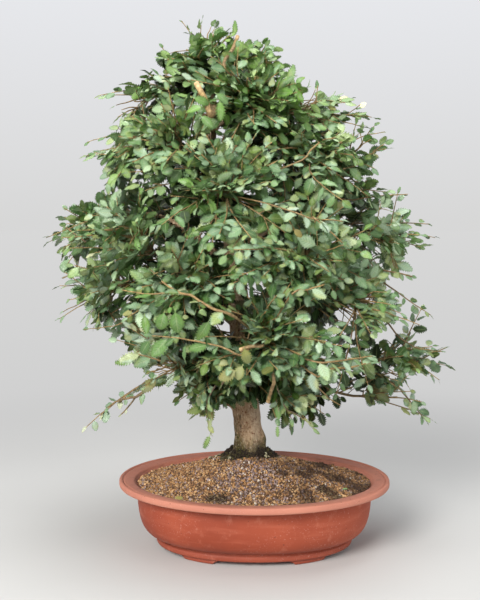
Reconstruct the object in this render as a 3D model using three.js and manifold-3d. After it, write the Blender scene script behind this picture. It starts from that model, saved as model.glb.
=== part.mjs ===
// A Chinese elm bonsai in an oval clay pot. Millimetres, +Z up, seen from the front along +Y.
// Everything is laid out from the middle of the pot on the floor. The finished group is then
// moved so that its own origin is the middle of the underside of its bounding box.

import * as THREE from "three";
import { mergeVertices } from "three/addons/utils/BufferGeometryUtils.js";
import Module from "manifold-3d";

const wasm = await Module();
wasm.setup();

// Driving dimensions: the pot
const POT_SIDES = 32; // flats round the oval
const POT_HALF_WIDTH = 175; // half of the long way across the rim
const POT_HALF_DEPTH = 135; // half of the short way across the rim
const POT_HEIGHT = 89;
const FOOT_HEIGHT = 6;
const BASE_HALF_WIDTH = 127.5;
const NECK_HALF_WIDTH = 151;
const WALL = 5.5;
const FLOOR_TOP = 12;
const DRAIN_RADIUS = 10;
const DRAIN_OFFSET = 62; // from the middle, along the pot
const FOOT_FROM = 32; // degrees round the oval, from the long axis
const FOOT_TO = 70;

// Driving dimensions: the soil
const CLEARANCE = 0.35; // between pieces that touch
const SOIL_EDGE = 81; // height where the soil meets the pot
const SOIL_RISE = 33; // how much higher it is at the trunk
const SOIL_SPREAD = 95; // how far the mound reaches
const SOIL_HOLE_BOTTOM = 84;

// Driving dimensions: the trunk
const TRUNK_X = -6.6; // where it enters the soil
const TRUNK_Y = 25;
const TRUNK_SIDES = 10;
const TRUNK = [
  // x, y, z and radius of its middle line, from the root up
  [-6.6, 25, 85, 25],
  [-6.6, 25, 112, 25.5],
  [-8.2, 25, 134, 19.4],
  [-11, 24, 173, 18.8],
  [-14, 22, 220, 17],
  [-16.5, 21, 268, 15],
  [-22, 20, 330, 12.4],
  [-30, 20, 390, 9.8],
  [-40, 20, 450, 7.4],
  [-52, 18, 510, 5.6],
  [-57, 18, 556, 4.6],
  [-55, 18, 582, 3.2],
];
const FLARE_TOP = 150; // the root flare ends here
const FLARE_LOBES = 5;
const FLARE_DEPTH = 0.16; // of the radius

// Driving dimensions: the main branches. Each leaves the trunk at a height, towards an
// azimuth (0 is right, 90 back, 180 left, 270 front), and ends at a reach and a height.
const BRANCHES = [
  { leaves: 172, azimuth: 187, reach: 92, height: 214 },
  { leaves: 182, azimuth: 352, reach: 98, height: 222 },
  { leaves: 200, azimuth: 84, reach: 82, height: 240 },
  { leaves: 216, azimuth: 262, reach: 84, height: 252 },
  { leaves: 238, azimuth: 137, reach: 98, height: 284 },
  { leaves: 254, azimuth: 33, reach: 98, height: 300 },
  { leaves: 283, azimuth: 195, reach: 104, height: 342 },
  { leaves: 296, azimuth: 308, reach: 92, height: 340 },
  { leaves: 322, azimuth: 98, reach: 86, height: 378 },
  { leaves: 352, azimuth: 163, reach: 96, height: 424 },
  { leaves: 372, azimuth: 8, reach: 98, height: 436 },
  { leaves: 396, azimuth: 256, reach: 80, height: 452 },
  { leaves: 428, azimuth: 58, reach: 74, height: 492 },
  { leaves: 452, azimuth: 214, reach: 66, height: 516 },
  { leaves: 486, azimuth: 335, reach: 62, height: 542 },
  { leaves: 508, azimuth: 128, reach: 46, height: 560 },
  { leaves: 534, azimuth: 12, reach: 50, height: 572 },
  { leaves: 548, azimuth: 192, reach: 42, height: 578 },
  { leaves: 566, azimuth: 85, reach: 9, height: 596 },
];
const BRANCH_SIDES = 5;
const BRANCH_TIP = 2.6; // radius
const ATTACH = [1, 0.76, 0.56, 0.4]; // where sprays leave a main branch, along its length

// Driving dimensions: the crown, as its reach to the left and right at each height
const CROWN = [
  [150, -150, 165],
  [210, -193, 214],
  [300, -222, 204],
  [400, -230, 192],
  [500, -198, 155],
  [580, -164, 108],
  [640, -112, 36],
  [674, -76, -30],
];
const CROWN_Y = 16; // the middle of its depth
const CROWN_DEPTH = 0.88; // depth against width
const CROWN_BOTTOM = 212;
const CROWN_TOP = 668;

// Driving dimensions: the furthest leaf tips that give the crown its outline, as x, y, z
const FAR_TIPS = [
  [-216, -8, 168],
  [229, 4, 178],
  [249, 22, 246],
  [-254, 8, 306],
  [-266, 26, 408],
  [231, 14, 396],
  [-214, 14, 516],
  [164, 14, 530],
  [-188, 20, 590],
  [104, 16, 588],
  [-68, 15, 676],
  [22, 12, 648],
  [-64, -76, 192],
  [44, -80, 194],
];
const BARE_TIP = 0; // this one ends a long, almost bare branch

// Driving dimensions: the leafy sprays
const SEED = 3.1;
const SPRAYS_ROUND = 28; // spread evenly over the crown, before the furthest tips are added
const SPRAY_APART = 78; // no two tips are nearer than this
const SPRAYS_FROM = 90; // degrees, the azimuth of the lowest of the even ones
const GOLDEN = 137.50776; // degrees from one to the next
const SHOOTS = 16; // on each spray
const SHOOT_LENGTHS = [72, 94];
const FANS = 4; // shoots of each spray that carry leaves here
const FAN_LEAVES = 3;
const LEAF_LENGTH = 25;
const LEAF_WIDTH = 13.5;
const LEAF_STEP = 10; // from leaf to leaf along a shoot
const FAN_LENGTH = LEAF_LENGTH + 5 + (FAN_LEAVES - 2) * LEAF_STEP; // of its leafy part
const SHOOT_ORDER = [0, 4, 5, 6, 3, 7, 2, 8, 9, 10, 1, 11, 12]; // the first free ones are taken
const LEAF_SPREAD = 52; // degrees between a leaf and its shoot
const BLADE = 0.8; // thickness
const RIB = 2.2; // width of a shoot between its leaves
const TWIG = 2; // radius of a spray's stem
const STEM_LEAST = 50; // a spray doesn't spring from a branch that ends nearer than this
const STUB_ANGLE = 42; // degrees, the least between a branch and a stem on its side
const LEAF_ARCH = 0.012; // how fast a blade bends down to its sides
const SHOOT_SAG = 0.16; // of its length, at its tip
const STEM_STOPS = [0, 0.33, 0.66, 1]; // a stem is straight between these shares of its length
const CORE_RADIUS = 28;
const CORE_LEAST = 12;
const CORE_STRETCH = 1.2;
const CORE_AT = 0.66; // along the stem
const CORE_POINT = 1.75; // how far its leaf points rise, of its radius
const CORE_LEAN = 0.9; // how much they lean outward
const CORE_BACK = -0.45; // faces that look back to the trunk more than this stay plain

const materials = {
  clay: new THREE.MeshStandardMaterial({ color: 0xb96a50, roughness: 0.85, metalness: 0 }),
  soil: new THREE.MeshStandardMaterial({ color: 0x85684a, roughness: 1, metalness: 0 }),
  bark: new THREE.MeshStandardMaterial({ color: 0x84705c, roughness: 0.95, metalness: 0 }),
  leaf: new THREE.MeshStandardMaterial({ color: 0x4f7440, roughness: 0.55, metalness: 0 }),
  screen: new THREE.MeshStandardMaterial({ color: 0x2b2b2b, roughness: 0.6, metalness: 0 }),
};

// Numbers and vectors
const TURN = 2 * Math.PI;
const radians = THREE.MathUtils.degToRad;
const mix = THREE.MathUtils.lerp;
const vec = (x, y, z) => new THREE.Vector3(x, y, z);
const UP = vec(0, 0, 1);

// A number from 0 to 1 that is always the same for the same two indices.
function draw(a, b) {
  const s = Math.sin(a * 127.1 + b * 311.7 + SEED) * 43758.5453;
  return s - Math.floor(s);
}

// Reads a row-by-row list at a height between its rows.
function between(rows, key, value, column) {
  let i = 1;
  while (i < rows.length - 1 && rows[i][key] < value) i++;
  const [a, b] = [rows[i - 1], rows[i]];
  const t = THREE.MathUtils.clamp((value - a[key]) / (b[key] - a[key]), 0, 1);
  return mix(a[column], b[column], t);
}

// Solids
function solidOf(geometry) {
  const bare = new THREE.BufferGeometry().setAttribute("position", geometry.getAttribute("position"));
  if (geometry.index) bare.setIndex(geometry.index);
  const merged = mergeVertices(bare, 1e-3);
  return new wasm.Manifold(
    new wasm.Mesh({
      numProp: 3,
      vertProperties: new Float32Array(merged.attributes.position.array),
      triVerts: new Uint32Array(merged.index.array),
    }),
  );
}

function meshOf(solid, name, material) {
  const shape = solid.getMesh();
  const positions = new Float32Array(shape.numVert * 3);
  for (let i = 0; i < shape.numVert; i++) {
    positions.set(shape.vertProperties.subarray(i * shape.numProp, i * shape.numProp + 3), i * 3);
  }
  const geometry = new THREE.BufferGeometry()
    .setAttribute("position", new THREE.BufferAttribute(positions, 3))
    .setIndex(new THREE.BufferAttribute(new Uint32Array(shape.triVerts), 1));
  geometry.computeVertexNormals();
  const mesh = new THREE.Mesh(geometry, material.clone());
  mesh.name = name;
  return mesh;
}

// A closed skin over rings of equally many points, each ring anticlockwise seen from the last.
function skin(rings) {
  const n = rings[0].length;
  const positions = rings.flat().flatMap((p) => [p.x, p.y, p.z]);
  const faces = [];
  for (let r = 0; r + 1 < rings.length; r++) {
    for (let i = 0; i < n; i++) {
      const [a, b] = [r * n + i, r * n + ((i + 1) % n)];
      faces.push(a, b, b + n, a, b + n, a + n);
    }
  }
  const last = (rings.length - 1) * n;
  for (let i = 1; i + 1 < n; i++) {
    faces.push(0, i + 1, i);
    faces.push(last, last + i, last + i + 1);
  }
  return new THREE.BufferGeometry()
    .setAttribute("position", new THREE.Float32BufferAttribute(positions, 3))
    .setIndex(faces);
}

// A tube along points, with a radius at each. Its end faces look along its first and last heading.
function tube(points, radii, sides, first, last) {
  const ends = [first, ...points.slice(2).map(() => undefined), last];
  const across = vec(0.3, 0.2, 1);
  const rings = points.map((p, i) => {
    const next = points[Math.min(i + 1, points.length - 1)];
    const along = ends[i] ?? next.clone().sub(points[Math.max(i - 1, 0)]).normalize();
    across.addScaledVector(along, -across.dot(along)).normalize();
    const other = along.clone().cross(across);
    return Array.from({ length: sides }, (_, k) => {
      const angle = (k / sides) * TURN;
      return p
        .clone()
        .addScaledVector(across, radii[i] * Math.cos(angle))
        .addScaledVector(other, radii[i] * Math.sin(angle));
    });
  });
  return skin(rings);
}

// The pot
function ovalRing(halfWidth, z, sides = POT_SIDES) {
  const step = POT_HALF_WIDTH - POT_HALF_DEPTH;
  const halfDepth = halfWidth >= BASE_HALF_WIDTH
    ? halfWidth - step
    : (halfWidth * (BASE_HALF_WIDTH - step)) / BASE_HALF_WIDTH;
  return Array.from({ length: sides }, (_, i) => {
    const t = (i / sides) * TURN;
    return vec(halfWidth * Math.cos(t), halfDepth * Math.sin(t), z);
  });
}

const RIM_BOTTOM = POT_HEIGHT - 8.5;
const INSIDE = [
  // half-width and height of the inner wall, from the floor up
  [BASE_HALF_WIDTH - 10, FLOOR_TOP],
  [BASE_HALF_WIDTH - 2, FLOOR_TOP + 7],
  [138, 38],
  [NECK_HALF_WIDTH - WALL, 66],
  [NECK_HALF_WIDTH - WALL + 1, RIM_BOTTOM],
  [154, POT_HEIGHT - 4],
];

function potSolid() {
  const outside = [
    [BASE_HALF_WIDTH - 0.5, FOOT_HEIGHT],
    [BASE_HALF_WIDTH, FOOT_HEIGHT + 6],
    [BASE_HALF_WIDTH - 3.5, FOOT_HEIGHT + 8.5],
    [BASE_HALF_WIDTH + 2.5, FOOT_HEIGHT + 12],
    [139.5, 32],
    [147.5, 52],
    [NECK_HALF_WIDTH, 72],
    [NECK_HALF_WIDTH, RIM_BOTTOM - 0.5],
    [POT_HALF_WIDTH - 0.5, RIM_BOTTOM],
    [POT_HALF_WIDTH, POT_HEIGHT - 1.2],
    [POT_HALF_WIDTH - 1.5, POT_HEIGHT],
    [POT_HALF_WIDTH - 3.5, POT_HEIGHT - 0.8],
    [156, POT_HEIGHT - 2.6],
  ];
  const rings = [...outside, ...[...INSIDE].reverse()].map(([r, z]) => ovalRing(r, z));
  let pot = solidOf(skin(rings));
  for (const side of [-1, 1]) {
    const drain = new THREE.CylinderGeometry(DRAIN_RADIUS, DRAIN_RADIUS, 30, 12);
    drain.rotateX(Math.PI / 2).translate(side * DRAIN_OFFSET, 0, FLOOR_TOP - 5);
    pot = pot.subtract(solidOf(drain));
  }
  for (const [sx, sy] of [[1, 1], [-1, 1], [-1, -1], [1, -1]]) {
    pot = pot.add(solidOf(footGeometry(sx, sy)));
  }
  return pot;
}

// A foot is a short piece of the oval's edge, sunk 2 mm into the base.
function footGeometry(sx, sy) {
  const outer = BASE_HALF_WIDTH - 5;
  const inner = outer - 13;
  const shape = new THREE.Shape();
  const steps = 4;
  const point = (r, i) => {
    const t = radians(mix(FOOT_FROM, FOOT_TO, i / steps));
    return new THREE.Vector2(sx * r * Math.cos(t), sy * r * 0.69 * Math.sin(t));
  };
  const points = [];
  for (let i = 0; i <= steps; i++) points.push(point(outer, i));
  for (let i = steps; i >= 0; i--) points.push(point(inner, i));
  shape.setFromPoints(points);
  return new THREE.ExtrudeGeometry(shape, { depth: FOOT_HEIGHT + 2, bevelEnabled: false });
}

// The screens over the drain holes
const SCREEN_SIZE = 32;
const SCREEN_THICKNESS = 1.2;

function screenSolid(side) {
  const bar = 3;
  const opening = (SCREEN_SIZE - 3 * bar) / 2;
  const z = FLOOR_TOP + CLEARANCE + SCREEN_THICKNESS / 2;
  const place = (box, x, y) => solidOf(box.translate(side * DRAIN_OFFSET + x, y, z));
  let screen = place(new THREE.BoxGeometry(SCREEN_SIZE, SCREEN_SIZE, SCREEN_THICKNESS), 0, 0);
  for (const sx of [-1, 1]) {
    for (const sy of [-1, 1]) {
      const shift = (opening + bar) / 2;
      screen = screen.subtract(place(new THREE.BoxGeometry(opening, opening, 5), sx * shift, sy * shift));
    }
  }
  return screen;
}

// The soil: a mound that fits the pot, with a plain hole for the trunk
function soilHeight(x, y) {
  const edge = Math.min(1, (x / 149) ** 2 + (y / 109) ** 2);
  const near = Math.exp(-((x - TRUNK_X) ** 2 + (y - TRUNK_Y) ** 2) / (2 * SOIL_SPREAD ** 2));
  const lumps = 1.6 * Math.sin(x * 0.061 + 1) * Math.sin(y * 0.073 + 2);
  return SOIL_EDGE + (SOIL_RISE * near + lumps) * (1 - edge);
}

function soilSolid() {
  const inset = 0.6;
  const walls = INSIDE.slice(0, -3).map(([r, z], i) => ovalRing(r - inset, i ? z : z + CLEARANCE));
  const edge = ovalRing(NECK_HALF_WIDTH - WALL + 1 - inset, SOIL_EDGE - 2);
  const top = [1, 0.7, 0.4].map((share) =>
    ovalRing((NECK_HALF_WIDTH - WALL + 1 - inset) * share, 0).map((p, i) => {
      const x = mix(TRUNK_X, edge[i].x, share);
      const y = mix(TRUNK_Y, edge[i].y, share);
      return vec(x, y, soilHeight(x, y));
    }),
  );
  let soil = solidOf(skin([...walls, ...top]));
  const hole = trunkRings(SOIL_HOLE_BOTTOM, 0.5);
  soil = soil.subtract(solidOf(skin(hole)));
  for (const side of [-1, 1]) {
    const pocket = new THREE.BoxGeometry(SCREEN_SIZE + 1, SCREEN_SIZE + 1, 4);
    pocket.translate(side * DRAIN_OFFSET, 0, FLOOR_TOP + SCREEN_THICKNESS + 2 * CLEARANCE - 2);
    soil = soil.subtract(solidOf(pocket));
  }
  return soil;
}

// The trunk
const trunkPoint = (z) => vec(between(TRUNK, 2, z, 0), between(TRUNK, 2, z, 1), z);
const trunkRadius = (z) => between(TRUNK, 2, z, 3);

function flare(angle, z) {
  const fade = THREE.MathUtils.clamp((FLARE_TOP - z) / (FLARE_TOP - 112), 0, 1);
  return 1 + FLARE_DEPTH * fade * Math.cos(FLARE_LOBES * angle + 0.6);
}

// Two rings of the plug in the soil, from its bottom to above the mound, larger by a gap.
function trunkRings(bottom, gap) {
  return [bottom, 140].map((z) =>
    Array.from({ length: TRUNK_SIDES * 2 }, (_, k) => {
      const angle = (k / (TRUNK_SIDES * 2)) * TURN;
      const r = TRUNK[0][3] * flare(angle, 112) + gap;
      return vec(TRUNK_X + r * Math.cos(angle), TRUNK_Y + r * Math.sin(angle), z);
    }),
  );
}

function trunkSolid(stubs) {
  const rings = TRUNK.map(([x, y, z, radius]) => {
    return Array.from({ length: TRUNK_SIDES * 2 }, (_, k) => {
      const angle = (k / (TRUNK_SIDES * 2)) * TURN;
      const r = radius * (z <= 112 ? flare(angle, 112) * (TRUNK[0][3] / radius) : flare(angle, z));
      return vec(x + r * Math.cos(angle), y + r * Math.sin(angle), z);
    });
  });
  const low = solidOf(skin(rings.slice(0, 5)));
  const high = solidOf(
    tube(TRUNK.slice(4).map(([x, y, z]) => vec(x, y, z)), TRUNK.slice(4).map((row) => row[3]), 7),
  );
  let trunk = low.add(high);
  BRANCHES.forEach((branch, m) => {
    const path = branchPath(m);
    const stops = [0, 0.45, 1];
    const radii = stops.map((t) => branchRadius(m, t));
    const points = stops.map((t) => path.getPoint(t));
    const end = path.getTangent(1);
    trunk = trunk.add(solidOf(tube(points, radii, BRANCH_SIDES, undefined, end)));
  });
  for (const stub of stubs) trunk = trunk.add(stub);
  return trunk;
}

// A main branch rises out of the trunk and levels off towards its end.
function branchPath(m) {
  const { leaves, azimuth, reach, height } = BRANCHES[m];
  const from = trunkPoint(leaves);
  const away = vec(Math.cos(radians(azimuth)), Math.sin(radians(azimuth)), 0);
  const to = from.clone().addScaledVector(away, reach).setZ(height);
  const bend = from.clone().addScaledVector(away, reach * 0.45).setZ(mix(leaves, height, 0.72));
  bend.add(vec(draw(m, 901) - 0.5, draw(m, 902) - 0.5, 0).multiplyScalar(22));
  return new THREE.QuadraticBezierCurve3(from, bend, to);
}

function branchRadius(m, t) {
  const root = Math.min(0.62 * trunkRadius(BRANCHES[m].leaves), 8.5);
  return mix(root, BRANCH_TIP, t ** 0.8);
}

// The crown: a tip on its surface for each spray
function crownPoint(z, angle) {
  const left = between(CROWN, 0, z, 1);
  const right = between(CROWN, 0, z, 2);
  const half = (right - left) / 2;
  return vec(
    (left + right) / 2 + half * Math.cos(angle),
    CROWN_Y + half * CROWN_DEPTH * Math.sin(angle),
    z,
  );
}

// Heights that give every spray the same share of the crown's skin.
function evenHeights(count) {
  const step = 2;
  const sums = [0];
  for (let z = CROWN_BOTTOM; z < CROWN_TOP; z += step) {
    const here = crownPoint(z, 0).x - crownPoint(z, Math.PI).x;
    const next = crownPoint(z + step, 0).x - crownPoint(z + step, Math.PI).x;
    sums.push(sums[sums.length - 1] + here * Math.hypot(step, (here - next) / 2));
  }
  return Array.from({ length: count }, (_, k) => {
    const wanted = ((k + 0.5) / count) * sums[sums.length - 1];
    const i = sums.findIndex((sum) => sum >= wanted);
    return CROWN_BOTTOM + i * step;
  });
}

function sprayTips() {
  const tips = FAR_TIPS.map(([x, y, z]) => vec(x, y, z));
  evenHeights(SPRAYS_ROUND).forEach((z, k) => {
    const tip = crownPoint(z, radians(k * GOLDEN + SPRAYS_FROM));
    if (tips.every((other) => other.distanceTo(tip) > SPRAY_APART)) tips.push(tip);
  });
  return tips;
}

// The point inside the crown that a spray points away from.
function crownHeart(tip) {
  const z = mix(330, tip.z, 0.45);
  return vec(between(TRUNK, 2, z, 0), CROWN_Y, z);
}

// Each spray gets the nearest free place on a main branch, and a stem that bends out to its tip.
function planSprays() {
  const taken = BRANCHES.map(() => 0);
  const plans = sprayTips().map((tip, k) => ({
    tip,
    bare: k === BARE_TIP,
    outward: tip.clone().sub(crownHeart(tip)).normalize(),
  }));
  for (const plan of plans) plan.end = plan.tip.clone().addScaledVector(plan.outward, -46);
  const wishes = [];
  plans.forEach((plan, k) =>
    BRANCHES.forEach((_, m) => {
      const far = branchPath(m).getPoint(1).distanceTo(plan.end);
      wishes.push({ k, m, far: far < STEM_LEAST ? far + 200 : far });
    }),
  );
  wishes.sort((a, b) => a.far - b.far);
  for (const { k, m } of wishes) {
    if (plans[k].branch !== undefined || taken[m] >= ATTACH.length) continue;
    plans[k].branch = m;
    taken[m]++;
  }
  BRANCHES.forEach((_, m) => {
    const path = branchPath(m);
    const along = path.getTangent(1);
    const mine = plans.filter((plan) => plan.branch === m);
    const lead = (plan) => plan.end.clone().sub(path.getPoint(1)).normalize().dot(along);
    mine.sort((a, b) => lead(b) - lead(a));
    mine.forEach((plan, i) => {
      plan.t = ATTACH[i];
      const from = path.getPoint(plan.t);
      const heading = path.getTangent(plan.t);
      let reach = 0;
      if (i) {
        const aside = plan.end.clone().sub(from).normalize();
        const angle = Math.max(heading.angleTo(aside), radians(STUB_ANGLE));
        aside.addScaledVector(heading, -aside.dot(heading)).normalize();
        heading.multiplyScalar(Math.cos(angle)).addScaledVector(aside, Math.sin(angle));
        reach = (branchRadius(m, plan.t) + 4) / Math.sin(angle);
      }
      plan.root = from;
      plan.heading = heading;
      plan.foot = from.clone().addScaledVector(heading, reach);
      plan.start = plan.foot.clone().addScaledVector(heading, CLEARANCE);
      const length = plan.start.distanceTo(plan.end);
      const bend = plan.start.clone().addScaledVector(heading, length * 0.45);
      plan.stem = new THREE.QuadraticBezierCurve3(plan.start, bend, plan.end);
    });
  });
  return plans;
}

// The short stub of a branch that carries a spray on its side.
function stubSolid({ root, foot, heading }) {
  return solidOf(tube([root, foot], [TWIG + 0.5, TWIG], 4, heading, heading));
}

// A spray's own frame at a place on its stem: along it, across it, and up from it.
function stemFrame(plan, t) {
  const i = Math.max(1, STEM_STOPS.findIndex((stop) => stop >= t));
  const [from, to] = [STEM_STOPS[i - 1], STEM_STOPS[i]];
  const at = plan.stem.getPoint(from).lerp(plan.stem.getPoint(to), (t - from) / (to - from));
  const along = plan.stem.getTangent(t);
  const side = UP.clone().cross(along).normalize();
  return { at, along, side, lift: along.clone().cross(side) };
}

// Shoot j of spray k. The first one carries on from the core to the spray's tip, and the others
// turn round the stem by the golden angle, wider and wider away from the tip.
function shootOf(plan, k, j) {
  const id = k * 40 + j;
  const back = (j - 1) / (SHOOTS - 2);
  const { at, along, side, lift } = stemFrame(plan, j ? mix(0.95, 0.34, back) : CORE_AT);
  const turn = radians(j * GOLDEN + 50 * draw(id, 1) + 360 * draw(k, 7));
  const open = radians(mix(30, 78, back) + 12 * (draw(id, 2) - 0.5));
  const heading = along.clone().multiplyScalar(Math.cos(open));
  heading.addScaledVector(side, Math.cos(turn) * Math.sin(open));
  heading.addScaledVector(lift, Math.sin(turn) * Math.sin(open));
  heading.z += 0.1;
  if (!j) heading.copy(plan.tip).sub(at);
  const length = j ? mix(...SHOOT_LENGTHS, draw(id, 3)) : heading.length() + 4;
  heading.normalize();
  const faces = UP.clone().multiplyScalar(0.45).addScaledVector(plan.outward, 0.6);
  faces.add(vec(draw(id, 4) - 0.5, draw(id, 5) - 0.5, 0).multiplyScalar(0.6));
  faces.addScaledVector(heading, -faces.dot(heading)).normalize();
  return { at, heading, across: faces.clone().cross(heading), faces, length };
}

// A point of a shoot's blade: so far along it and across it, arched down along and across.
function bladePoint(shoot, a, b, h) {
  const { at, heading, across, faces, length } = shoot;
  const point = at.clone().addScaledVector(heading, a).addScaledVector(across, b);
  point.addScaledVector(faces, h - LEAF_ARCH * b * b);
  point.z -= SHOOT_SAG * a * (a / length);
  return point;
}

// The outline of a leafy shoot: leaves cut to the rib, each with a tooth on either shoulder.
const LEAF_OUTLINE = [
  // share of the leaf's length, and of its half-width, up its lower edge and down its upper edge
  [0.45, -1],
  [0.55, -0.74],
  [1, 0],
  [0.45, 0.95],
];

function leafPoints(base, side, grow) {
  const spread = side ? radians(LEAF_SPREAD) : 0;
  return LEAF_OUTLINE.map(([p, q]) => {
    const a = p * (LEAF_LENGTH + grow);
    const b = q * (LEAF_WIDTH / 2 + grow);
    const along = a * Math.cos(spread) - b * Math.sin(spread) * (side ? -1 : 0);
    const across = a * Math.sin(spread) - b * Math.cos(spread);
    return new THREE.Vector2(base + along, (side || -1) * across);
  });
}

function fanOutline(length, root, grow) {
  const rib = RIB / 2 + grow / 2;
  const right = [new THREE.Vector2(root, -rib)];
  const left = [new THREE.Vector2(root, rib)];
  for (let i = FAN_LEAVES - 1; i > 0; i--) {
    const base = length - LEAF_LENGTH - 5 - (i - 1) * LEAF_STEP;
    if (base < root + 4) continue;
    const side = i % 2 ? 1 : -1;
    const points = leafPoints(base, side, grow);
    const list = side > 0 ? left : right;
    list.push(new THREE.Vector2(base - 1.2 - grow, side * rib));
    list.push(...points);
    list.push(new THREE.Vector2(base + 1.6 + grow, side * rib));
  }
  const tip = leafPoints(length - LEAF_LENGTH, 0, grow);
  return [...right, ...tip, ...left.reverse()];
}

function fanSolid(shoot, root, thickness, grow) {
  const shape = new THREE.Shape(fanOutline(shoot.length, root, grow));
  const blade = new THREE.ExtrudeGeometry(shape, { depth: thickness, bevelEnabled: false });
  const place = blade.getAttribute("position");
  for (let i = 0; i < place.count; i++) {
    const point = bladePoint(shoot, place.getX(i), place.getY(i), place.getZ(i) - thickness / 2);
    place.setXYZ(i, point.x, point.y, point.z);
  }
  return solidOf(blade);
}

// The dense middle of a spray: a small core, every face of which rises to the point of a leaf.
function coreSolid(plan, k, radius) {
  const { at, along, side, lift } = stemFrame(plan, CORE_AT);
  const bare = new THREE.BufferGeometry();
  bare.setAttribute("position", new THREE.IcosahedronGeometry(1, 0).getAttribute("position"));
  const ball = mergeVertices(bare, 1e-3);
  const corners = Array.from({ length: ball.attributes.position.count }, (_, i) =>
    new THREE.Vector3()
      .fromBufferAttribute(ball.attributes.position, i)
      .multiplyScalar(radius * (0.85 + 0.3 * draw(k * 40 + i, 11))),
  );
  const points = [...corners];
  const faces = [];
  for (let f = 0; f < ball.index.count; f += 3) {
    const trio = [0, 1, 2].map((n) => ball.index.getX(f + n));
    const apex = vec(0, 0, 0);
    trio.forEach((i, n) => {
      const outward = Math.exp(CORE_LEAN * (corners[i].x / radius + draw(k * 40 + f, 12 + n)));
      apex.addScaledVector(corners[i], outward);
    });
    apex.normalize();
    if (apex.x < CORE_BACK) {
      faces.push(...trio);
      continue;
    }
    const rise = (CORE_POINT - 1) * (0.55 + 0.45 * apex.x) * (0.7 + 0.6 * draw(k * 40 + f, 16));
    apex.multiplyScalar(radius * (1 + rise));
    points.push(apex);
    const top = points.length - 1;
    faces.push(trio[0], trio[1], top, trio[1], trio[2], top, trio[2], trio[0], top);
  }
  const place = points.flatMap((p) => {
    const placed = at.clone().addScaledVector(along, p.x * CORE_STRETCH);
    placed.addScaledVector(side, p.y).addScaledVector(lift, p.z);
    return [placed.x, placed.y, placed.z];
  });
  const geometry = new THREE.BufferGeometry();
  geometry.setAttribute("position", new THREE.Float32BufferAttribute(place, 3)).setIndex(faces);
  return solidOf(geometry);
}

function stemSolid(plan) {
  const stops = STEM_STOPS.slice(0, plan.bare ? 4 : 3);
  const radii = stops.map((t) => TWIG * (1 - 0.25 * t));
  return solidOf(tube(stops.map((t) => plan.stem.getPoint(t)), radii, 4, plan.heading));
}

const meets = (a, b) => {
  const [p, q] = [a.boundingBox(), b.boundingBox()];
  const apart = [0, 1, 2].some((i) => p.min[i] > q.max[i] || q.min[i] > p.max[i]);
  return !apart && a.intersect(b).volume() > 0;
};

// Sprays are begun with their stems. Their cores swell until they would meet something. Leafy
// shoots are then added in rounds, so that all get their share, and a shoot that would meet
// another piece gives way to the next one.
function growSprays(plans, trunk) {
  const sprays = plans.map((plan) => ({ stem: stemSolid(plan), radius: 0, fans: [], tried: 0 }));
  const bodyOf = (spray) => (spray.core ? [spray.core, spray.stem] : [spray.stem]);
  const others = (k) => sprays.filter((_, i) => i !== k).flatMap((s) => [...bodyOf(s), ...s.fans]);
  const blocked = (solid, k) => [trunk, ...others(k)].some((piece) => meets(solid, piece));
  for (let radius = CORE_LEAST; radius <= CORE_RADIUS; radius += 1.5) {
    sprays.forEach((spray, k) => {
      if (plans[k].bare || (spray.radius && spray.radius < radius - 2)) return;
      if (radius > CORE_LEAST && blocked(coreSolid(plans[k], k, radius + 1), k)) return;
      spray.core = coreSolid(plans[k], k, radius);
      spray.radius = radius;
    });
  }
  for (let round = 1; round <= FANS; round++) {
    sprays.forEach((spray, k) => {
      const heart = plans[k].stem.getPoint(CORE_AT);
      while (spray.fans.length < round && spray.tried < SHOOT_ORDER.length) {
        const shoot = shootOf(plans[k], k, SHOOT_ORDER[spray.tried++]);
        const root = spray.radius * 0.45;
        if (!plans[k].bare && shoot.at.distanceTo(heart) > spray.radius * 0.55) continue;
        const leafy = fanSolid(shoot, Math.max(shoot.length - FAN_LENGTH, root), BLADE, 0);
        if (spray.core && meets(leafy, spray.core)) continue;
        const room = fanSolid(shoot, root, BLADE + 1.6, 0.8);
        if (blocked(room, k) || spray.fans.some((fan) => meets(room, fan))) continue;
        spray.fans.push(fanSolid(shoot, root, BLADE, 0));
      }
    });
  }
  return sprays.map((spray) =>
    [...bodyOf(spray), ...spray.fans].reduce((whole, piece) => whole.add(piece)),
  );
}

const plans = planSprays();
const stubs = plans.filter((plan) => plan.foot.distanceTo(plan.root) > 1).map(stubSolid);

const tree = new THREE.Group();
const trunk = trunkSolid(stubs);
tree.add(meshOf(potSolid(), "pot", materials.clay));
tree.add(meshOf(soilSolid(), "soil", materials.soil));
tree.add(meshOf(trunk, "trunk", materials.bark));
tree.add(meshOf(screenSolid(-1), "drain_screen_left", materials.screen));
tree.add(meshOf(screenSolid(1), "drain_screen_right", materials.screen));
growSprays(plans, trunk).forEach((spray, k) => {
  tree.add(meshOf(spray, "spray_" + String(k + 1).padStart(2, "0"), materials.leaf));
});

// The origin is the middle of the underside of the whole thing's bounding box.
const bounds = new THREE.Box3().setFromObject(tree);
const middle = bounds.getCenter(new THREE.Vector3());
tree.position.set(-middle.x, -middle.y, -bounds.min.z);

const bonsai = new THREE.Group();
bonsai.add(tree);

export default bonsai;
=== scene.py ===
import math

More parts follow.
